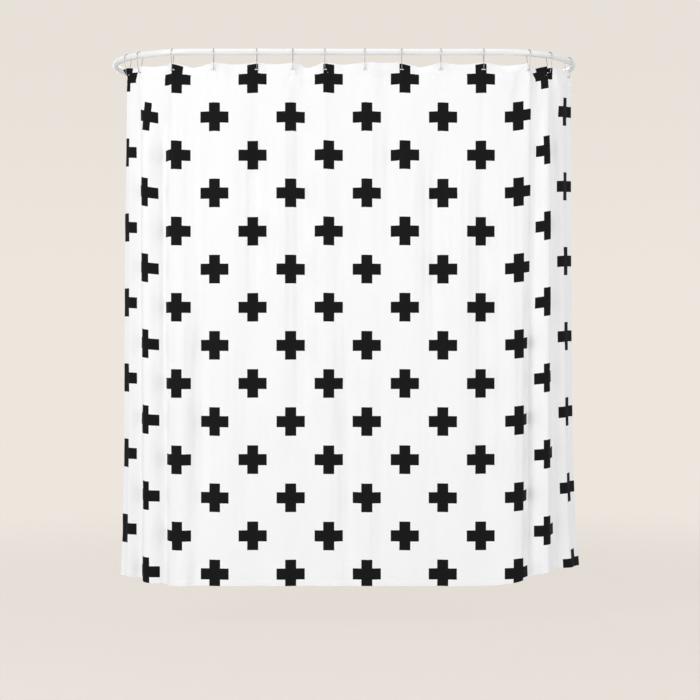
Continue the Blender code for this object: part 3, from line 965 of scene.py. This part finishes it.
def start_shape(across, down):
    """The sheet as it is let go: on the rail's line, already in its upright folds."""
    flat, hung = flat_and_hung()
    along = np.interp(across, flat, hung)
    ease = np.convolve(np.pad(np.gradient(across, along), 2, "edge"), np.full(5, 1 / 5), "valid")
    slack = np.sqrt(np.maximum(ease - 1, 0))
    count, windows = fold_places(along, down)
    wavelength = 1 / np.maximum(np.gradient(count, along), 1e-3)
    depth = slack * np.minimum(wavelength, WIDEST_FOLD) / math.pi
    ends = smooth_step(*PLEATED, np.abs(along))
    strength = FOLD_STRENGTH[0] + FOLD_STRENGTH[1] * windows
    fold = -depth * np.cos(2 * math.pi * count) * (strength * (1 - ends) + ends)
    _, first, last, part = hook_gaps(along)
    swell = HEAD_SWELL * (last - first) * slack
    middle_fold = np.interp((first + last) / 2, along, fold[len(down) // 3])
    head = swell * np.sin(math.pi * part) * np.where(middle_fold < 0, -1, 1)
    sag = np.minimum(HEAD_SAG[0] * (last - first), HEAD_SAG[1]) * 4 * part * (1 - part)
    rail, outward = rail_arrays(along)
    lower = smooth_step(*HUNG_FROM, down)[:, None]
    offset = lower * fold + (1 - lower) * head[None]
    points = rail[None] + outward[None] * offset[..., None]
    points[..., 2] = ((BUTTONHOLE_Z + BUTTONHOLE_DOWN - down)[:, None]
                      - sag * np.exp(-down / SAG_FADES)[:, None])
    return points


def hang(points, across, down, pins):
    """Blender's cloth: the flat cut hung from its buttonholes and left to settle."""
    rows, columns = len(down), len(across)
    mesh = bpy.data.meshes.new("hanging_cloth")
    mesh.from_pydata(points.reshape(-1, 3).tolist(), [],
                     grid_faces(rows, columns).reshape(-1, 4).tolist())
    obj = bpy.data.objects.new("hanging_cloth", mesh)
    scene = bpy.context.scene
    scene.collection.objects.link(obj)
    only(obj)
    obj.shape_key_add(name="let_go")
    cut = obj.shape_key_add(name="flat_cut")
    wide, tall = np.meshgrid(across, down)
    flat = np.stack([wide, np.full_like(wide, FRONT_Y), -tall], axis=-1)
    cut.data.foreach_set("co", flat.astype(np.float32).ravel())
    obj.vertex_groups.new(name="buttonholes").add(pins, 1.0, "REPLACE")
    cloth = obj.modifiers.new("cloth", "CLOTH")
    for name, value in CLOTH_VALUES.items():
        setattr(cloth.settings, name, value)
    cloth.settings.vertex_group_mass = "buttonholes"
    cloth.settings.rest_shape_key = cut
    cloth.collision_settings.use_self_collision = False
    cloth.collision_settings.use_collision = False
    cloth.point_cache.frame_start = 1
    cloth.point_cache.frame_end = HANG_FRAMES
    for number in range(1, HANG_FRAMES + 1):
        scene.frame_set(number)
    settled = np.empty(rows * columns * 3, np.float32)
    hung = obj.evaluated_get(bpy.context.evaluated_depsgraph_get())
    hung.data.vertices.foreach_get("co", settled)
    scene.frame_set(1)
    bpy.data.objects.remove(obj, do_unlink=True)
    return settled.astype(float).reshape(rows, columns, 3)


def unit(vectors):
    return vectors / np.linalg.norm(vectors, axis=-1, keepdims=True)


def resample(points, old, new, axis):
    """Smooth curves through the grid's points, read at new places along one axis."""
    points = np.moveaxis(points, axis, 0)
    slope = np.gradient(points, old, axis=0)
    cell = np.clip(np.searchsorted(old, new, side="right") - 1, 0, len(old) - 2)
    size = (old[cell + 1] - old[cell]).reshape(-1, 1, 1)
    t = (new - old[cell]).reshape(-1, 1, 1) / size
    found = ((1 + 2 * t) * (1 - t) ** 2 * points[cell] + t * (1 - t) ** 2 * size * slope[cell]
             + t * t * (3 - 2 * t) * points[cell + 1] + t * t * (t - 1) * size * slope[cell + 1])
    return np.moveaxis(found, 0, axis)


def outward_normals(points, across, down):
    return unit(np.cross(np.gradient(points, down, axis=0), np.gradient(points, across, axis=1)))


def rise_of(across, part):
    """How far the cloth is drawn up towards its bottom corners."""
    height, start, end = (np.where(across < 0, left, right) for left, right in zip(*RISES))
    return height * smooth_step(start, end, np.abs(across)) * part


def dress_sheet(points, across, down):
    """Work on the settled cloth: level header, deeper folds, leaning edge, drawn-up corners."""
    part = down[:, None] / down[-1]
    level = BUTTONHOLE_Z + BUTTONHOLE_DOWN - down[:, None]
    points[..., 2] = level + (points[..., 2] - level) * (
        1 - LEVELLED * np.exp(-down[:, None] / 0.5))
    flat, hung = flat_and_hung()
    along = np.interp(across, flat, hung)
    count, windows = fold_places(along, down)
    middle = 1 - smooth_step(*DEEPENED_TO, np.abs(along))
    swell = -DEEPENED * np.cos(2 * math.pi * count) * windows * middle
    gap, _, _, gap_part = hook_gaps(along)
    lean = np.radians(np.array(HEADER_LEANS)[gap]) * np.sin(math.pi * gap_part)
    above = np.maximum(LEAN_LINE - down, 0)[:, None]
    _, outward = rail_arrays(along)
    points += outward[None] * (swell - above * np.sin(lean))[..., None]
    points[..., 2] += rise_of(across, part) - above * (1 - np.cos(lean))
    left, right = smooth_step(*SPREADS[0], -across), smooth_step(*SPREADS[1], across)
    points[..., 0] += right * (0.012 * part + 0.022 * part ** 8) - left * 0.013 * part ** 9
    return points


# ---------------------------------------------------------------- cloth: its relief

# Ripples of the sewn cloth, each its height and its wavelength.
HEADER_PUCKER, FOOT_PUCKER, SIDE_PUCKER = (0.0011, 0.014), (0.0007, 0.017), (0.0006, 0.018)
HEADER_RIPPLE, FOOT_WAVE = (0.0018, 0.055), (0.0022, 0.11)
SEAM_DENT = (0.0003, 0.0014)         # depth and half width of the dent along a line of stitching
PULLS_START = (0.006, 0.022)         # away from a buttonhole, where its fan of pulls rises
CRUMPLES, CRUMPLE_HEIGHT = 26, 0.0009


def wander(rng, place, wavelength, waves=7):
    """A smooth random line of about this wavelength, within -1 to 1."""
    total = np.zeros_like(place)
    for _ in range(waves):
        length = wavelength * rng.uniform(0.6, 1.7)
        total = total + np.sin(2 * math.pi * place / length + rng.uniform(0, 2 * math.pi))
    return total / waves ** 0.5 / 1.5


def seam_relief(rng, across, down, wide, tall):
    """Puckers along the four seams, and the looser waves of the header and the foot."""
    def ripple(kind, place):
        return kind[0] * wander(rng, place, kind[1])

    def near(value, place, before, after):
        return np.exp(-((value - place) / np.where(value < place, before, after)) ** 2)

    def dent(away):
        return SEAM_DENT[0] * np.exp(-(away / SEAM_DENT[1]) ** 2)

    head, foot, side = seam_places()
    drop = settings("curtain_looks").flat_drop
    height = ripple(HEADER_PUCKER, across) * near(tall, head, 0.011, 0.022)
    height += ripple(HEADER_RIPPLE, across) * (1 - smooth_step(0.04, 0.12, tall))
    height += ripple(FOOT_PUCKER, across) * near(tall, foot, 0.022, 0.014)
    height += ripple(FOOT_WAVE, across) * smooth_step(drop - 0.2, drop, tall)
    for seam in (across[0] + side, across[-1] - side):
        height += ripple(SIDE_PUCKER, down)[:, None] * near(wide, seam, 0.012, 0.012)
        height -= dent(wide - seam)
    return height - dent(tall - head) - dent(tall - foot)


def buttonhole_relief(rng, aside, below):
    """The fan of small pulls under one buttonhole, and two long creases that run down from it."""
    away = np.hypot(aside, below)
    fan = np.cos(11 * np.arctan2(aside, below) + rng.uniform(0, 6)) * np.exp(-away / 0.045)
    height = 0.0011 * fan * smooth_step(*PULLS_START, away) * (below > 0)
    for lean in (rng.uniform(0.35, 0.95), -rng.uniform(0.35, 0.95)):
        reach, width = rng.uniform(0.05, 0.13), rng.uniform(0.005, 0.009)
        run = aside * math.sin(lean) + below * math.cos(lean)
        off = aside * math.cos(lean) - below * math.sin(lean)
        crease = np.exp(-(off / (width * (1 + 6 * np.maximum(run, 0)))) ** 2)
        ends = smooth_step(0.0, 0.025, run) * (1 - smooth_step(reach * 0.5, reach, run))
        height -= rng.uniform(0.0012, 0.0028) * crease * ends
    return height


def crumple_relief(rng, wide, tall):
    """Broad soft creases over the whole cloth, in many directions."""
    height = np.zeros_like(wide)
    for _ in range(CRUMPLES):
        heading, length = rng.uniform(0, math.pi), rng.uniform(0.05, 0.24)
        lean = wide * math.cos(heading) * 1.2 + tall * math.sin(heading) * 0.8
        height += np.sin(2 * math.pi * lean / length + rng.uniform(0, 6.3)) * length
    return CRUMPLE_HEIGHT * height


def relief(across, down, hooks):
    """Height of hems, seam puckers and pulls over the smooth sheet, in metres."""
    rng = np.random.default_rng(23)
    wide, tall = np.meshgrid(across, down)
    height = seam_relief(rng, across, down, wide, tall)
    for hook in hooks:
        height += buttonhole_relief(rng, wide - hook, tall - BUTTONHOLE_DOWN)
    return height + crumple_relief(rng, wide, tall)


# ---------------------------------------------------------------- cloth: sheet and hems

LAYER_PITCH = 0.00058                # from the middle of one layer of cloth to the next
TURN_ANGLES = (0, 45, 90, 135)       # steps of a hem's fold, in degrees
SHEET = {}                           # the hung sheet's grid, then its pieces by side


def seam_knots(start, end, places, width=0.0015):
    """Knots from start to end with three close together on each seam."""
    near = [place + shift for place in places for shift in (-width, 0.0, width)]
    return sorted({round(value, 6) for value in (start, end, *near) if start <= value <= end})


def fine_grid(left, right, hooks):
    """Places across and down the finished sheet, closest at its seams and buttonholes."""
    looks = settings("curtain_looks")
    header, foot, side = seam_places()
    half = looks.buttonhole_width / 2
    slots = [hook + shift for hook in hooks for shift in (-half, half)]
    seams = seam_knots(left, right, (left + side, right - side, 0.0))
    slot_end, foot_start = BUTTONHOLE_DOWN + looks.buttonhole_height, foot - FOOT_UP
    stretches = (([0, BUTTONHOLE_DOWN, slot_end], 0.0036),
                 (seam_knots(slot_end, HEAD_DOWN, (header,)), 0.0035),
                 ([HEAD_DOWN, foot_start], 0.012),
                 (seam_knots(foot_start, looks.flat_drop, (foot,)), 0.004))
    down = [0]
    for knots, cell in stretches:
        down += list(divided(knots, cell)[1:])
    return divided(sorted([*seams, *slots]), 0.006), np.array(down)


def hung_sheet():
    """The whole sheet, hung and finely divided: its places across and down, points and normals."""
    flat, hung = flat_and_hung()
    hooks = np.interp(HOOKS_ALONG, hung, flat)
    across = divided([flat[0], *hooks, flat[-1]], CELL)
    down = divided([0, BUTTONHOLE_DOWN, settings("curtain_looks").flat_drop], CELL)
    columns = [int(np.abs(across - hook).argmin()) for hook in hooks]
    points = start_shape(across, down)
    points = hang(points, across, down, [len(across) + column for column in columns])
    upright = unit(unit(points[1] - points[3]) + (0, 0, 1.5))
    points[0] = points[1] + upright * BUTTONHOLE_DOWN
    points = dress_sheet(points, across, down)
    fine_across, fine_down = fine_grid(flat[0], flat[-1], hooks)
    points = resample(resample(points, across, fine_across, 1), down, fine_down, 0)
    normals = outward_normals(points, fine_across, fine_down)
    points = points + normals * relief(fine_across, fine_down, hooks)[..., None]
    normals = outward_normals(points, fine_across, fine_down)
    return {"across": fine_across, "down": fine_down, "points": points, "normals": normals,
            "hooks": hooks}


def print_places(across, down):
    """UVs in metres of flat cloth, with the print's rows drawn up a little towards the sides."""
    part = np.clip(down / settings("curtain_looks").flat_drop, 0, 1)
    foot, top, start, end = (np.where(across < 0, left, right) for left, right in zip(*LIFTS))
    lift = (foot + top * (1 - part ** 2)) * smooth_step(start, end, np.abs(across))
    return np.stack([across, down + lift - rise_of(across, part)], axis=-1)


def in_slot(across, down, hooks):
    """Which cells of the grid lie inside a buttonhole's slot."""
    looks = settings("curtain_looks")
    middle = (across[1:] + across[:-1]) / 2
    level = (down[1:] + down[:-1]) / 2
    wide = (np.abs(middle[:, None] - hooks[None]) < looks.buttonhole_width / 2).any(axis=1)
    tall = (level > BUTTONHOLE_DOWN) & (level < BUTTONHOLE_DOWN + looks.buttonhole_height)
    return tall[:, None] & wide[None]


def half_columns(side):
    """The columns of the sheet's grid that lie on one side of the middle."""
    across = SHEET["across"]
    middle = int(np.abs(across).argmin())
    return slice(0, middle + 1) if side < 0 else slice(middle, len(across))


def mesh_piece(name, points, faces, uvs, finishes):
    """A mesh object from points and faces, with flat-cloth metres as its UVs."""
    mesh = bpy.data.meshes.new(name)
    mesh.from_pydata(points.tolist(), [], faces)
    obj = bpy.data.objects.new(name, mesh)
    bpy.context.scene.collection.objects.link(obj)
    layer = mesh.uv_layers.new(name="flat_metres")
    corners = np.empty(len(mesh.loops), np.int32)
    mesh.loops.foreach_get("vertex_index", corners)
    layer.data.foreach_set("uv", uvs[corners].astype(np.float32).ravel())
    for finish in finishes:
        mesh.materials.append(finish_of(finish))
    return obj


def sheet_piece(name, points, uvs, holes=None, turned=False):
    """A layer of cloth from a grid, printed on its face and plain on its reverse."""
    rows, columns = points.shape[:2]
    faces = grid_faces(rows, columns, turned)
    faces = faces.reshape(-1, 4) if holes is None else faces[~holes]
    obj = mesh_piece(name, points.reshape(-1, 3), faces.tolist(), uvs.reshape(-1, 2),
                     ("printed_cloth", "cloth_reverse"))
    layer = solidify(obj, settings("curtain_looks").thickness, 0.0)
    layer.material_offset = 1
    apply_modifiers(obj)
    bpy.ops.object.shade_smooth_by_angle(angle=math.radians(60))
    return obj


def bend_with(obj):
    """Bakes a piece's placing into its mesh."""
    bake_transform(obj)


def turned_in(points, normals):
    """A hem's layer: it turns under at the first row and lies behind the same rows."""
    past = unit(points[0] - points[1])
    loop = []
    for degrees in TURN_ANGLES:
        angle = math.radians(degrees)
        loop.append(points[0] + past * LAYER_PITCH / 2 * math.sin(angle)
                    - normals[0] * LAYER_PITCH / 2 * (1 - math.cos(angle)))
    return np.concatenate([np.stack(loop), points - normals * LAYER_PITCH])


def hang_sheet():
    """Both halves of the cloth, cut at the middle."""
    SHEET.update(hung_sheet())
    across, down, hooks = SHEET["across"], SHEET["down"], SHEET["hooks"]
    for side, name in SIDES:
        part = half_columns(side)
        uvs = print_places(*np.meshgrid(across[part], down))
        obj = sheet_piece(f"printed_sheet_{name}", SHEET["points"][:, part], uvs,
                          in_slot(across[part], down, hooks))
        bend_with(obj)
        SHEET[name] = obj


def header_layer(name, part, rows):
    """The turned-in header behind one half, with the same buttonholes through it."""
    across = SHEET["across"][part]
    level = np.concatenate([np.linspace(0, 0.0003, len(TURN_ANGLES)), SHEET["down"][rows]])
    grid = turned_in(SHEET["points"][rows][:, part], SHEET["normals"][rows][:, part])
    return sheet_piece(f"header_hem_{name}", grid, print_places(*np.meshgrid(across, -level)),
                       in_slot(across, level, SHEET["hooks"]), True)


def foot_layer(name, part, rows):
    """The turned-in bottom hem behind one half."""
    drop = settings("curtain_looks").flat_drop
    level = 2 * drop - np.concatenate([[drop] * len(TURN_ANGLES), SHEET["down"][rows][::-1]])
    grid = turned_in(SHEET["points"][rows][::-1, part], SHEET["normals"][rows][::-1, part])
    uvs = print_places(*np.meshgrid(SHEET["across"][part], level))
    return sheet_piece(f"bottom_hem_{name}", grid, uvs)


def side_layer(name, side, rows):
    """The turned-in side hem between the header and the bottom hem."""
    across = SHEET["across"]
    edge = across[0 if side < 0 else -1]
    strip = np.abs(across - edge) <= settings("curtain_looks").side_depth + 1e-6
    order = slice(None) if side < 0 else slice(None, None, -1)
    grid = turned_in(*(SHEET[key][rows][:, strip][:, order].transpose(1, 0, 2)
                       for key in ("points", "normals")))
    place = 2 * edge - np.concatenate([[edge] * len(TURN_ANGLES), across[strip][order]])
    tall, wide = np.meshgrid(SHEET["down"][rows], place)
    return sheet_piece(f"side_hem_cloth_{name}", grid, print_places(wide, tall), None,
                       side > 0)


def turn_hems():
    """The turned-in header, bottom hem and side hems behind each half of the cloth."""
    looks, down = settings("curtain_looks"), SHEET["down"]
    header = down <= looks.header_depth + 1e-6
    foot = down >= looks.flat_drop - looks.hem_depth - 1e-6
    for side, name in SIDES:
        part = half_columns(side)
        layers = [header_layer(name, part, header), foot_layer(name, part, foot),
                  side_layer(name, side, ~header & ~foot)]
        for layer in layers:
            bend_with(layer)
        SHEET[name + "_layers"] = layers


# ---------------------------------------------------------------- cloth: stitching

STITCH_RINGS = ((-0.5, 0.35), (-0.28, 1.0), (0.28, 1.0), (0.5, 0.35))   # along, and thickness
STITCH_SIDES = 6
STITCH_PITCH, STITCH_LENGTH, STITCH_RADIUS = 0.0042, 0.0034, 0.00022
STITCH_SKEW = 0.04                   # radians that a stitch may lean
EDGE_STITCH, EDGE_PITCH = (0.0023, 0.00038), 0.00075   # length and radius, along a buttonhole
BAR_STITCH, BAR_PITCH = (0.0026, 0.00042), 0.0007      # and across its ends
EDGE_OUT, BAR_OUT = 0.0009, 0.0006   # from the slot to the middle of those stitches
EDGE_PROUD, BAR_PROUD = 0.0001, 0.00015   # how far they stand above plain thread
THREAD_GAP = 0.00005                 # from the cloth's surface to the middle of a thread


def on_sheet(wide, tall, lift):
    """Points above the sheet at places across and down it."""
    across, down = SHEET["across"], SHEET["down"]
    column = np.clip(np.searchsorted(across, wide, side="right") - 1, 0, len(across) - 2)
    row = np.clip(np.searchsorted(down, tall, side="right") - 1, 0, len(down) - 2)
    x = ((wide - across[column]) / (across[column + 1] - across[column]))[..., None]
    y = ((tall - down[row]) / (down[row + 1] - down[row]))[..., None]

    def blend(grid):
        upper = grid[row, column] * (1 - x) + grid[row, column + 1] * x
        lower = grid[row + 1, column] * (1 - x) + grid[row + 1, column + 1] * x
        return upper * (1 - y) + lower * y
    return blend(SHEET["points"]) + unit(blend(SHEET["normals"])) * lift[..., None]


def stitches(wide, tall, heading, length, radius, lift):
    """Short rounded thread lengths lying on the cloth: their points, faces and UVs."""
    along = np.repeat([place * length for place, _ in STITCH_RINGS], STITCH_SIDES)
    swell = np.repeat([size * radius for _, size in STITCH_RINGS], STITCH_SIDES)
    turn = np.tile(np.arange(STITCH_SIDES) * 2 * math.pi / STITCH_SIDES, len(STITCH_RINGS))
    sideways, up = swell * np.cos(turn), swell * np.sin(turn)
    run, cross = np.cos(heading)[:, None], np.sin(heading)[:, None]
    across = wide[:, None] + run * along - cross * sideways
    down = tall[:, None] + cross * along + run * sideways
    points = on_sheet(across, down, lift + up)
    index = np.arange(len(along)).reshape(len(STITCH_RINGS), STITCH_SIDES)
    after = np.roll(index, -1, axis=1)
    quads = np.stack([index[:-1], after[:-1], after[1:], index[1:]], axis=-1).reshape(-1, 4)
    caps = np.stack([index[0][::-1], index[-1]])
    faces = []
    for base in np.arange(len(wide)) * len(along):
        faces += (quads + base).tolist() + (caps + base).tolist()
    return points.reshape(-1, 3), faces, print_places(across, down).reshape(-1, 2)


def thread_piece(name, runs):
    """One mesh of many stitches."""
    points, faces, uvs, count = [], [], [], 0
    for run in runs:
        found, made, places = stitches(*run)
        points.append(found)
        uvs.append(places)
        faces += [[count + i for i in face] for face in made]
        count += len(found)
    obj = mesh_piece(name, np.concatenate(points), faces, np.concatenate(uvs), ("white_thread",))
    only(obj)
    bpy.ops.object.mode_set(mode="EDIT")
    close_edit()
    bpy.ops.object.shade_smooth_by_angle(angle=math.radians(70))
    bend_with(obj)
    return obj


def thread_lifts():
    """How far above the sheet's middle the thread lies on the face, and under it on the reverse."""
    half = settings("curtain_looks").thickness / 2
    return half + THREAD_GAP, -LAYER_PITCH - half - THREAD_GAP


def hem_runs(rng, edge, side):
    """Lockstitch along half of the header and bottom hem, and along the side hem at its edge."""
    looks = settings("curtain_looks")
    header, foot, inset = seam_places()
    start = edge + SEAM_IN if side < 0 else SEAM_IN
    places = np.arange(start, start + abs(edge) - 2 * SEAM_IN, STITCH_PITCH)
    heights = np.arange(looks.header_depth + 0.004, looks.flat_drop - looks.hem_depth - 0.003,
                        STITCH_PITCH)
    rows = [(places, np.full_like(places, level), 0) for level in (header, foot)]
    rows.append((np.full_like(heights, edge - side * inset), heights, math.pi / 2))
    return [(wide, tall, heading + rng.uniform(-STITCH_SKEW, STITCH_SKEW, len(wide)),
             STITCH_LENGTH, STITCH_RADIUS, lift)
            for wide, tall, heading in rows for lift in thread_lifts()]


def buttonhole_runs(hooks):
    """Close stitches round every buttonhole: along both edges, with a bar at each end."""
    looks = settings("curtain_looks")
    half, tall = looks.buttonhole_width / 2, looks.buttonhole_height / 2
    level = BUTTONHOLE_DOWN + tall
    straight = np.arange(-half + 0.0008, half - 0.0007, EDGE_PITCH)
    bar = np.arange(-tall - 0.0016, tall + 0.0017, BAR_PITCH)
    runs = []
    for hook in hooks:
        for lift in thread_lifts():
            out = math.copysign(1, lift)
            for way in (-1, 1):
                edge = np.full_like(straight, level + way * (tall + EDGE_OUT))
                runs.append((straight + hook, edge, np.full_like(straight, math.pi / 2),
                             *EDGE_STITCH, lift + EDGE_PROUD * out))
            for way in (-1, 1):
                end = np.full_like(bar, hook + way * (half + BAR_OUT))
                runs.append((end, level + bar, np.zeros_like(bar), *BAR_STITCH,
                             lift + BAR_PROUD * out))
    return runs


def sew_hems():
    """Rows of lockstitch along every hem, and a worked edge round every buttonhole."""
    rng = np.random.default_rng(5)
    for side, name in SIDES:
        edge = SHEET["across"][0 if side < 0 else -1]
        hooks = [hook for hook in SHEET["hooks"] if hook * side > 0]
        SHEET[name + "_layers"] += [
            thread_piece(f"hem_stitching_{name}", hem_runs(rng, edge, side)),
            thread_piece(f"buttonhole_stitching_{name}", buttonhole_runs(hooks))]


def declare_cloth():
    """Hides the CAD nodes that the sheets and their layers stand for."""
    looks = settings("curtain_looks")
    for side, name in SIDES:
        layers = SHEET[name + "_layers"]
        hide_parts("curtain_panel")
        for layer, node in zip(layers, ("header_facing", "bottom_hem", "side_hem_" + name)):
            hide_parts(node)


# ---------------------------------------------------------------- stage

def make_stage_world():
    """Even light from all round, with the backdrop's colour where the camera looks past the object,
    painted a little darker towards the top as painted shade.
    """
    stage = settings("stage_looks")
    world = bpy.data.worlds.new("studio_world")
    world.use_nodes = True
    tree = world.node_tree
    seen = tree.nodes["Background"]
    # Painted shade: the backdrop the camera sees darkens by 5% towards the top.
    split = tree.nodes.new("ShaderNodeSeparateXYZ")
    tree.links.new(coordinates(tree, "Generated"), split.inputs[0])
    tree.links.new(mix_colour(tree, ramp(tree, split.outputs[2], 0.02, 0.2, 0.0, 1.0, True),
                              stage.backdrop, [channel * 0.95 for channel in stage.backdrop]),
                   seen.inputs["Color"])
    lit = tree.nodes.new("ShaderNodeBackground")
    lit.inputs["Color"].default_value = (*stage.room, 1)
    lit.inputs["Strength"].default_value = stage.room_power
    mix = tree.nodes.new("ShaderNodeMixShader")
    path = tree.nodes.new("ShaderNodeLightPath")
    tree.links.new(path.outputs["Is Camera Ray"], mix.inputs[0])
    tree.links.new(lit.outputs[0], mix.inputs[1])
    tree.links.new(seen.outputs[0], mix.inputs[2])
    tree.links.new(mix.outputs[0], tree.nodes["World Output"].inputs["Surface"])
    bpy.context.scene.world = world


FLOOR_RADIUS = 4.4
FLOOR_FADE = (1.2, 4.2)              # from the middle, where the floor thins out
FLOOR_SHOWS = 0.30                   # how much of it shows before that


def make_floor():
    """A pale floor that thins out into the backdrop a few metres off."""
    stage = settings("stage_looks")
    deselect()
    bpy.ops.mesh.primitive_circle_add(vertices=96, radius=FLOOR_RADIUS, fill_type="NGON",
                                      location=(0, 0, FLOOR_Z))
    floor = bpy.context.object
    floor.name = "studio_floor"
    material, tree, shader = new_material("studio_floor")
    place = coordinates(tree, "Object")
    length = tree.nodes.new("ShaderNodeVectorMath")
    length.operation = "LENGTH"
    tree.links.new(place, length.inputs[0])
    tree.links.new(ramp(tree, length.outputs["Value"], *FLOOR_FADE, FLOOR_SHOWS, 0.0, True),
                   shader.inputs["Alpha"])
    shader.inputs["Base Color"].default_value = (*stage.floor, 1)
    shader.inputs["Roughness"].default_value = 0.85
    shader.inputs["Specular IOR Level"].default_value = 0.2
    floor.data.materials.append(material)


def area_light(name, place, aim, width, height, power):
    """A soft white lamp at a place, turned to its aim."""
    data = bpy.data.lights.new(name, "AREA")
    data.shape = "RECTANGLE"
    data.size, data.size_y = width, height
    data.energy = power
    light = bpy.data.objects.new(name, data)
    bpy.context.scene.collection.objects.link(light)
    light.location = place
    light.rotation_euler = (Vector(aim) - Vector(place)).to_track_quat("-Z", "Y").to_euler()


def make_lights():
    """A key and a fill in front, and weaker lamps above and behind."""
    power = settings("stage_looks").key_power
    area_light("key_light", (-3.5, -5.3, 0.5), (0, -0.4, -0.9), 2.4, 2.4, power)
    area_light("fill_light", (3.8, -4.0, 0.0), (0, -0.4, -1.0), 2.6, 3.0, power * 0.42)
    area_light("top_light", (0.0, -0.6, 2.6), (0, -0.5, 0), 3.6, 1.6, power * 0.2)
    area_light("back_light", (-1.5, 4.5, 1.2), (0, -0.4, -0.9), 3.0, 3.0, power * 0.3)


CAMERA_PLACE = (0.021, -6.34, -1.043)
CAMERA_LENS = 82.3


def make_camera():
    """A level camera square to the rail's front run."""
    data = bpy.data.cameras.new("front_camera")
    data.sensor_width = 36
    data.lens = CAMERA_LENS
    data.clip_end = 100
    camera = bpy.data.objects.new("front_camera", data)
    bpy.context.scene.collection.objects.link(camera)
    camera.location = CAMERA_PLACE
    camera.rotation_euler = (math.radians(90), 0, 0)
    bpy.context.scene.camera = camera
    bpy.context.scene.view_settings.view_transform = "Standard"


# ---------------------------------------------------------------- operators

class RailsOperator(bpy.types.Operator):
    """Models the oval rail from its two tubes"""
    bl_idname = "curtain.rails"
    bl_label = "Oval Rail"

    def execute(self, context):
        make_rails()
        return {"FINISHED"}


class BracketsOperator(bpy.types.Operator):
    """Models the clamps, arms and wall flanges that hold the rail"""
    bl_idname = "curtain.brackets"
    bl_label = "Wall Brackets"

    def execute(self, context):
        for _, name in SIDES:
            make_flange(name)
            make_clamp(name)
            make_arm(name)
        return {"FINISHED"}


class ScrewsOperator(bpy.types.Operator):
    """Models every screw and finishes the spigots inside the rail's joints"""
    bl_idname = "curtain.screws"
    bl_label = "Screws"

    def execute(self, context):
        for _, name in SIDES:
            for number in (1, 2, 3):
                make_wall_screw(f"wall_screw_{name}_{number}")
            for end in ("front", "back"):
                make_joint_screw(f"joint_screw_{name}_{end}")
            for node in (f"clamp_screw_{name}_rail", f"clamp_screw_{name}_arm",
                         f"flange_screw_{name}"):
                make_grub_screw(node)
            spigot = frame["nodes"]["spigot_" + name]
            for slot in spigot.material_slots:
                slot.material = finish_of("screw_steel")
        return {"FINISHED"}


class HooksOperator(bpy.types.Operator):
    """Bends the wire hooks and puts each on the rail"""
    bl_idname = "curtain.hooks"
    bl_label = "Wire Hooks"

    def execute(self, context):
        make_hooks()
        return {"FINISHED"}


class ClothOperator(bpy.types.Operator):
    """Hangs the printed cloth from its buttonholes"""
    bl_idname = "curtain.cloth"
    bl_label = "Printed Cloth"

    def execute(self, context):
        hang_sheet()
        return {"FINISHED"}


class HemsOperator(bpy.types.Operator):
    """Turns in and sews the hems and works the buttonholes"""
    bl_idname = "curtain.hems"
    bl_label = "Hems and Stitching"

    def execute(self, context):
        if not SHEET:
            raise RuntimeError("hang the cloth before its hems")
        turn_hems()
        sew_hems()
        declare_cloth()
        return {"FINISHED"}


class StageOperator(bpy.types.Operator):
    """Sets out the floor, backdrop, lights and camera"""
    bl_idname = "curtain.stage"
    bl_label = "Stage"

    def execute(self, context):
        make_stage_world()
        make_floor()
        make_lights()
        make_camera()
        return {"FINISHED"}


OPERATORS = (RailsOperator, BracketsOperator, ScrewsOperator, HooksOperator, ClothOperator,
             HemsOperator, StageOperator)


class CurtainPanel(bpy.types.Panel):
    """Lists the pieces in the order they are made"""
    bl_idname = "VIEW3D_PT_curtain"
    bl_label = "Shower Curtain"
    bl_space_type = "VIEW_3D"
    bl_region_type = "UI"
    bl_category = "Curtain"

    def draw(self, context):
        for operator in OPERATORS:
            self.layout.operator(operator.bl_idname)
        for group in SETTINGS:
            looks = settings(group)
            box = self.layout.box()
            for name in looks.bl_rna.properties.keys():
                if name not in ("rna_type", "name"):
                    box.prop(looks, name)


def register():
    for group, kind in SETTINGS.items():
        bpy.utils.register_class(kind)
        setattr(bpy.types.Scene, group, bpy.props.PointerProperty(type=kind))
    for kind in (*OPERATORS, CurtainPanel):
        bpy.utils.register_class(kind)


def unregister():
    for kind in (CurtainPanel, *reversed(OPERATORS)):
        bpy.utils.unregister_class(kind)
    for group, kind in SETTINGS.items():
        delattr(bpy.types.Scene, group)
        bpy.utils.unregister_class(kind)


def main():
    register()
    for operator in OPERATORS:
        category, name = operator.bl_idname.split(".")
        getattr(getattr(bpy.ops, category), name)()


if __name__ == "__main__":
    main()
